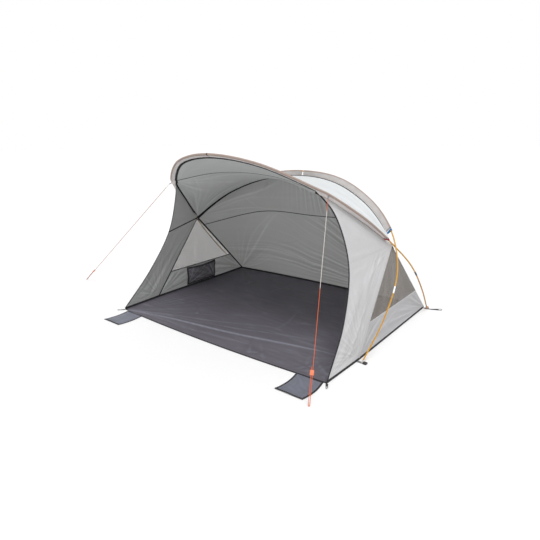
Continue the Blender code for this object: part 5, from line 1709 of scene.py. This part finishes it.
rear_start, rear_run, rear_hole = strap_place(front_pole, side_foot, rear_corner)
side_start, side_run, side_hole = strap_place(rear_pole, front_corner, side_foot)
for side, sign in sides.items():
    for label, start, run, hole, length in (("rear", rear_start, rear_run, rear_hole, rear_strap_length),
                                            ("side", side_start, side_run, side_hole, side_strap_length)):
        matrix = flat_matrix(start * sign, run * sign, strap_height)
        loops = [rounded_box(length, strap_width, 0.003), circle(hole, 0.0, hole_radius)]
        plate(f"{label}_foot_webbing_{side}", loops, strap_thickness, matrix, grey_tape,
              nodes=[f"{label}_foot_strap_{side}"])
        eyelet(f"{label}_foot_eyelet_{side}", hole, matrix, red_plastic if label == "rear" else plated_steel)
        if label == "side":
            toe = matrix @ Matrix.Translation((hole + toe_place[0], *toe_place[1:]))
            plate(f"side_foot_toe_{side}", [rounded_box(toe_length, strap_width + toe_overhang, 0.004)], toe_height,
                  toe, dark_plastic, edge_round=0.0012)
        else:
            cap = matrix @ Matrix.Translation(cap_place)
            plate(f"rear_foot_cap_{side}", [circle(hole, 0.0, radius) for radius in (cap_radius, cap_bore)],
                  cap_height, cap, red_plastic)
        box_end = hole - 0.010
        if box_end > 0.010:
            rows = stitched_box(0.004, box_end, strap_width / 2 - 0.004)
            combined(f"{label}_foot_stitches_{side}", moved(rows, matrix), dark_thread, offset=0.0)

front_loop_run, rear_loop_run = unit((1.0, -1.7, 0.0)), unit((1.0, 0.4, 0.0))
front_loop_start = front_corner + np.array([cloth_thickness, -cloth_thickness, 0.0]) + front_loop_run * gap
turned_share = np.linalg.norm(np.cross(rear_run, rear_loop_run))
rear_loop_start = rear_start + rear_run * (rear_strap_length + gap + loop_width / 2 * turned_share)
for label, start, run, length in (("front", front_loop_start, front_loop_run, 0.062),
                                  ("rear", rear_loop_start, rear_loop_run, 0.095)):
    loops, slot_start = loop_outline(length)
    twist = (length, loop_width / 2)
    for side, sign in sides.items():
        matrix = flat_matrix(start * sign, run * sign, strap_height)
        body = f"{label}_peg_loop_{side}"
        plate(f"{label}_peg_webbing_{side}", loops, strap_thickness, matrix, loop_tape, body=body, nodes=[body],
              twist=twist)
        rows = stitched_box(0.005, slot_start - 0.009, loop_width / 2 - 0.003)
        rows = [(twisted(points, *twist), faces, chart) for points, faces, chart in rows]
        combined(f"{label}_peg_stitches_{side}", moved(rows, matrix), dark_thread, body, 0.0)
print("made the straps and the peg loops")

# %% [markdown]
# ## Sand flaps
# Two flaps lie in front of the floor, to be loaded with sand or pegged. They are bound on their three free
# sides and lie a little wavy. A dark strip fills the wedge between a flap's straight root and the bowed hem: it
# stands for the binding at the root, and in part it is a painted shadow under the hem.

# %% Sand flaps
flap_width = 0.200
flap_length = 0.225
flap_corner = 0.012
flap_half = front_corner[0] - hem_ramp
flap_bow = 0.014
flap_binding = (0.012, 0.0022)
flap_stitch_inset = 0.0095
root_height = 0.0012
hem_inset = 0.0022


def flap_place(inner_edge, sign):
    bow = -front_edge_bow * (1 - ((inner_edge + flap_corner) / flap_half) ** 2)
    return np.array([sign * (inner_edge + flap_width / 2), bow - cloth_thickness - gap, 0.0])


def flap_grid(place, seed):
    x, y = np.meshgrid(np.linspace(-flap_width / 2, flap_width / 2, 25), -np.linspace(0, flap_length, 28))
    draw = np.random.default_rng(seed)
    waves = packing_folds(np.stack([x, y], axis=-1), 6, 0.06, 0.0012, draw)
    waves += 0.0016 * np.sin(x * 31 + draw.uniform(0, 6)) * (-y / flap_length)
    lift = np.abs(waves) * np.clip(-y / 0.04, 0, 1)
    corner = np.clip((-y - flap_length * 0.8) / (flap_length * 0.2), 0, 1)
    lift += 0.004 * corner ** 2 * (0.4 + 0.6 * np.sin(x / flap_width * math.pi + seed) ** 2)
    bowed_x = x + flap_bow * np.sin(math.pi * -y / flap_length)
    return np.stack([bowed_x, y, 0.0014 + lift], axis=-1) + place, lift


def flap_root(place):
    """The dark strip in the wedge between a flap's straight edge and the bowed hem: binding and painted shadow."""
    across = np.linspace(-flap_width / 2, flap_width / 2, 41) + place[0]
    hem = -front_edge_bow * (1 - (across / front_corner[0]) ** 2) - hem_inset
    start, low = place[1] + 0.0002, 0.0002
    rings = np.array([
        [(x, start, low), (x, y, low), (x, y, root_height), (x, start, root_height)]
        for x, y in zip(across, hem) if y - start > 0.0008
    ])
    return lofted(rings, rings[:, 0])


roots = []
for side, sign, inner_edge, seed in (("right", 1, 0.806, 2), ("left", -1, 0.774, 5)):
    body = f"sand_flap_{side}"
    place = flap_place(inner_edge, sign)
    roots.append(flap_root(place))
    grid, lift = flap_grid(place, seed)
    normals = normals_along(grid, 2)
    flap = sheet_object(f"sand_flap_cloth_{side}", grid, normals, [flap_sheet], height=lift)
    declared(flap, body, [body])
    bindings, rows = [], []
    for line, outs, inward in free_edges(grid, normals, ("high", "start", "end")):
        bindings.append(folded_binding(line, outs, inward, *flap_binding))
        rows.append(stitches(line + inward * flap_stitch_inset, outs, flap_binding[1] / 2))
    combined(f"sand_flap_binding_{side}", bindings, dark_binding, body)
    combined(f"sand_flap_stitches_{side}", rows, seam_thread, body)
# The dark strips at the flaps' roots: binding, and in part a painted shadow under the hem.
combined("sand_flap_roots", roots, dark_binding)
print("made the sand flaps")

# %% [markdown]
# ## Guy lines
# Each guy line is tied to a small loop on the front sleeve. It runs down to its peg, turns there and comes
# back up through a runner, which tightens it. The cord is 3.5 mm thick and braided orange. Both cords are the
# same: the right one gets a lighter orange with a long pale stretch, painted highlight, and the left one a
# darker red-brown with only a short pale stretch at its top, painted shade. The route is the CAD's, but its two
# lower strands are closer together: twice the turn's radius, 8 mm.

# %% Guy line routes
guy_radius = 0.00175
cad_sleeve_room, cad_sleeve_wall = 0.0008, 0.0012
guy_loop_length = 0.024
guy_loop_width = 0.012
turn_radius = 0.004
runner_length = 0.030
runner_width = 0.024
runner_thickness = 0.006
runner_from_peg = 0.165
guy_tail = 0.016


def guy_route(peg_place, sign):
    """The cord's line, the loop it is tied to, and the runner's corner, each of these with its own directions."""
    row = sum(front_arch_steps[:3])
    hold = front_pole[row] * sign
    run = unit((front_pole[row + fine] - front_pole[row - fine]) * sign)
    peg = np.array([*peg_place, guy_radius + 0.0005])
    towards = unit(peg - hold)
    square = unit(towards - run * np.dot(towards, run))
    loop_start = hold + square * (pole_radius + cad_sleeve_room + cad_sleeve_wall + gap)
    lean = math.sqrt(1 - np.dot(towards, square) ** 2)
    top = loop_start + square * (guy_loop_length + guy_radius * lean + gap)
    down = unit(peg - top)
    aside = unit(np.cross(down, up_axis)) * np.sign(peg_place[0])
    total = np.linalg.norm(peg - top) - turn_radius
    line = [top + down * total * share for share in np.linspace(0, 1, max(2, round(total / 0.060)) + 1)]
    centre = top + down * total + aside * turn_radius
    for step in range(1, 13):
        angle = math.pi * step / 12
        line.append(centre - aside * turn_radius * math.cos(angle) + down * turn_radius * math.sin(angle))
    back_length = runner_from_peg + runner_length + guy_tail
    for share in np.linspace(0, 1, 5)[1:]:
        line.append(centre + aside * turn_radius - down * back_length * share)
    middle = top + down * (total - runner_from_peg - runner_length / 2) + aside * turn_radius
    return np.array(line), (loop_start, square, run), (middle - aside * runner_width / 2, down, aside)


def axes_matrix(place, x_axis, y_axis):
    matrix = np.identity(4)
    matrix[:3] = np.stack([x_axis, y_axis, np.cross(x_axis, y_axis), np.asarray(place) + to_frame], axis=1)
    return Matrix(matrix.tolist())

# %% Guy lines, runners and loops
def cord_part(line, radius, sides=10):
    """A round cord along a line, with frames that don't twist."""
    runs = unit(np.gradient(line, axis=0))
    across = unit(np.cross(runs[0], up_axis))
    frames = []
    for run in runs:
        across = unit(across - run * np.dot(across, run))
        frames.append(across)
    turns = np.linspace(0, 2 * math.pi, sides, endpoint=False)
    profile = np.stack([np.cos(turns), np.sin(turns)], axis=1) * radius
    return swept(line, np.array(frames), np.cross(frames, runs), profile)


def knot_part(place, run, radius):
    """An overhand knot: one and a half turns of the cord, drawn tight."""
    side = unit(np.cross(run, up_axis))
    other = np.cross(run, side)
    line = np.array([
        place + run * (0.55 * radius * (turn / math.pi - 1.5)) + side * 1.15 * radius * math.cos(turn)
        + other * 1.15 * radius * math.sin(turn)
        for turn in np.linspace(0, 3 * math.pi, 40)
    ])
    return cord_part(line, radius * 0.95, 8)


# The right cord is a lighter copy with a painted highlight along most of it; the left one is a darker copy, painted
# shade.
for side, peg_place, finish in (
    ("right", (1.074, -0.267),
     guy_finish("guy_braid_right", (0.55, 0.075, 0.018), (0.76, 0.16, 0.050), 0.082, 0.600)),
    ("left", (-2.110, 0.279), guy_finish("guy_braid_left", (0.25, 0.012, 0.002), (0.35, 0.024, 0.006), 0.0, 0.05)),
):
    line, (loop_start, square, run), (corner, down, aside) = guy_route(peg_place, sides[side])
    body = f"guy_runner_{side}"
    outline = [(y, x) for x, y in rounded_box(runner_width, runner_thickness, 0.0028, 5)]
    holes = [circle(0.0, runner_width / 2 + shift, guy_radius + 0.0004, 16) for shift in (-turn_radius, turn_radius)]
    runner = plate(f"guy_runner_body_{side}", [outline, *holes], runner_length,
                   axes_matrix(corner, np.cross(aside, down), aside), runner_plastic, body, [body],
                   0.0009)
    last = unit(line[-1] - line[-2])
    knot = combined(f"guy_knot_{side}", [knot_part(line[-1] - last * 0.004, last, guy_radius)], finish)
    cord = combined(f"guy_cord_{side}", [cord_part(line, guy_radius)], finish,
                    replaces=[f"guy_line_{side}"])
    tuple(line[0] + to_frame)
    [tuple(place) for place in line + to_frame]
    loop_loops = [rounded_box(guy_loop_length, guy_loop_width, 0.003),
                  circle(guy_loop_length - guy_loop_width / 2, 0.0, 0.0035)]
    plate(f"guy_loop_webbing_{side}", loop_loops, strap_thickness, axes_matrix(loop_start, square, run), grey_tape,
          nodes=[f"guy_loop_{side}"])

# %% [markdown]
# ## Poles
# The poles, their ferrules and their pins are rigid and already have the right shape in the CAD. They keep
# it and get their finish.

# %% Poles
# The front pole's steel ferrules take the black moulding finish: a painted dark reflection.
finish_of = {"pole_arch": fibreglass_rod, "pole_leg": fibreglass_rod, "front_pole_leg": fibreglass_shaded,
             "ferrule": plated_steel, "front_ferrule": dark_plastic, "pole_pin": plated_steel,
             "shock_cord": elastic_cord}
for name, node in nodes.items():
    for part_name, material in finish_of.items():
        if part_name in name:
            node.data.materials.clear()
            node.data.materials.append(material)
print("finished the poles")

# %% [markdown]
# ## Ground and light
# The tent stands on a plain pale floor under soft studio light. The background is white where the camera
# looks at it directly, and only just white, because a thin cord is lost in front of a brighter one. The light
# itself comes from a grey sky and two wide lamps, at a plain level at which a colour looks about as it is
# written.

# %% Ground and light
def seen_directly(tree):
    """1 where the camera looks straight, or by way of a mirror or glass, and 0 for the light itself."""
    rays = tree.nodes.new("ShaderNodeLightPath").outputs
    names = ("Is Camera Ray", "Is Glossy Ray", "Is Transmission Ray")
    camera_ray, glossy_ray, clear_ray = (Amount(tree, rays[name]) for name in names)
    return camera_ray.at_least(glossy_ray).at_least(clear_ray)


def stage_floor():
    mesh = bpy.data.meshes.new("studio_floor")
    reach = 60.0
    corners = [(-reach, -reach, 0), (reach, -reach, 0), (reach, reach, 0), (-reach, reach, 0)]
    mesh.from_pydata(corners, [], [(0, 1, 2, 3)])
    floor = placed("studio_floor", mesh)
    floor.location.z = -0.0005
    paint = Finish("studio_paint", 0.9)
    paint.set("Base Color", paint.shade(seen_directly(paint.tree), (0.80, 0.80, 0.80), (0.90, 0.90, 0.90)))
    floor.data.materials.append(paint.material)


def sky(level):
    world = bpy.data.worlds.new("studio_sky")
    bpy.context.scene.world = world
    world.use_nodes = True
    tree = world.node_tree
    background = tree.nodes["Background"]
    background.inputs["Color"].default_value = (1.0, 1.0, 1.0, 1.0)
    strength = level + seen_directly(tree) * (1.0 - level)
    tree.links.new(strength.socket, background.inputs["Strength"])


def far_lamp(name, place, softness, strength):
    """A lamp so far away that it lights the whole floor evenly. Its softness is its width in degrees."""
    lamp = bpy.data.lights.new(name, "SUN")
    lamp.angle = math.radians(softness)
    lamp.energy = strength
    stand = placed(name, lamp)
    stand.location = place
    stand.rotation_euler = (-Vector(place)).to_track_quat("-Z", "Y").to_euler()


stage_floor()
sky(0.52)
far_lamp("key_lamp", (2.2, -1.5, 6.0), 40.0, 2.0)
far_lamp("front_lamp", (0.5, -6.0, 2.6), 40.0, 0.52)
bpy.context.scene.view_settings.view_transform = "Standard"
print("lit the studio")
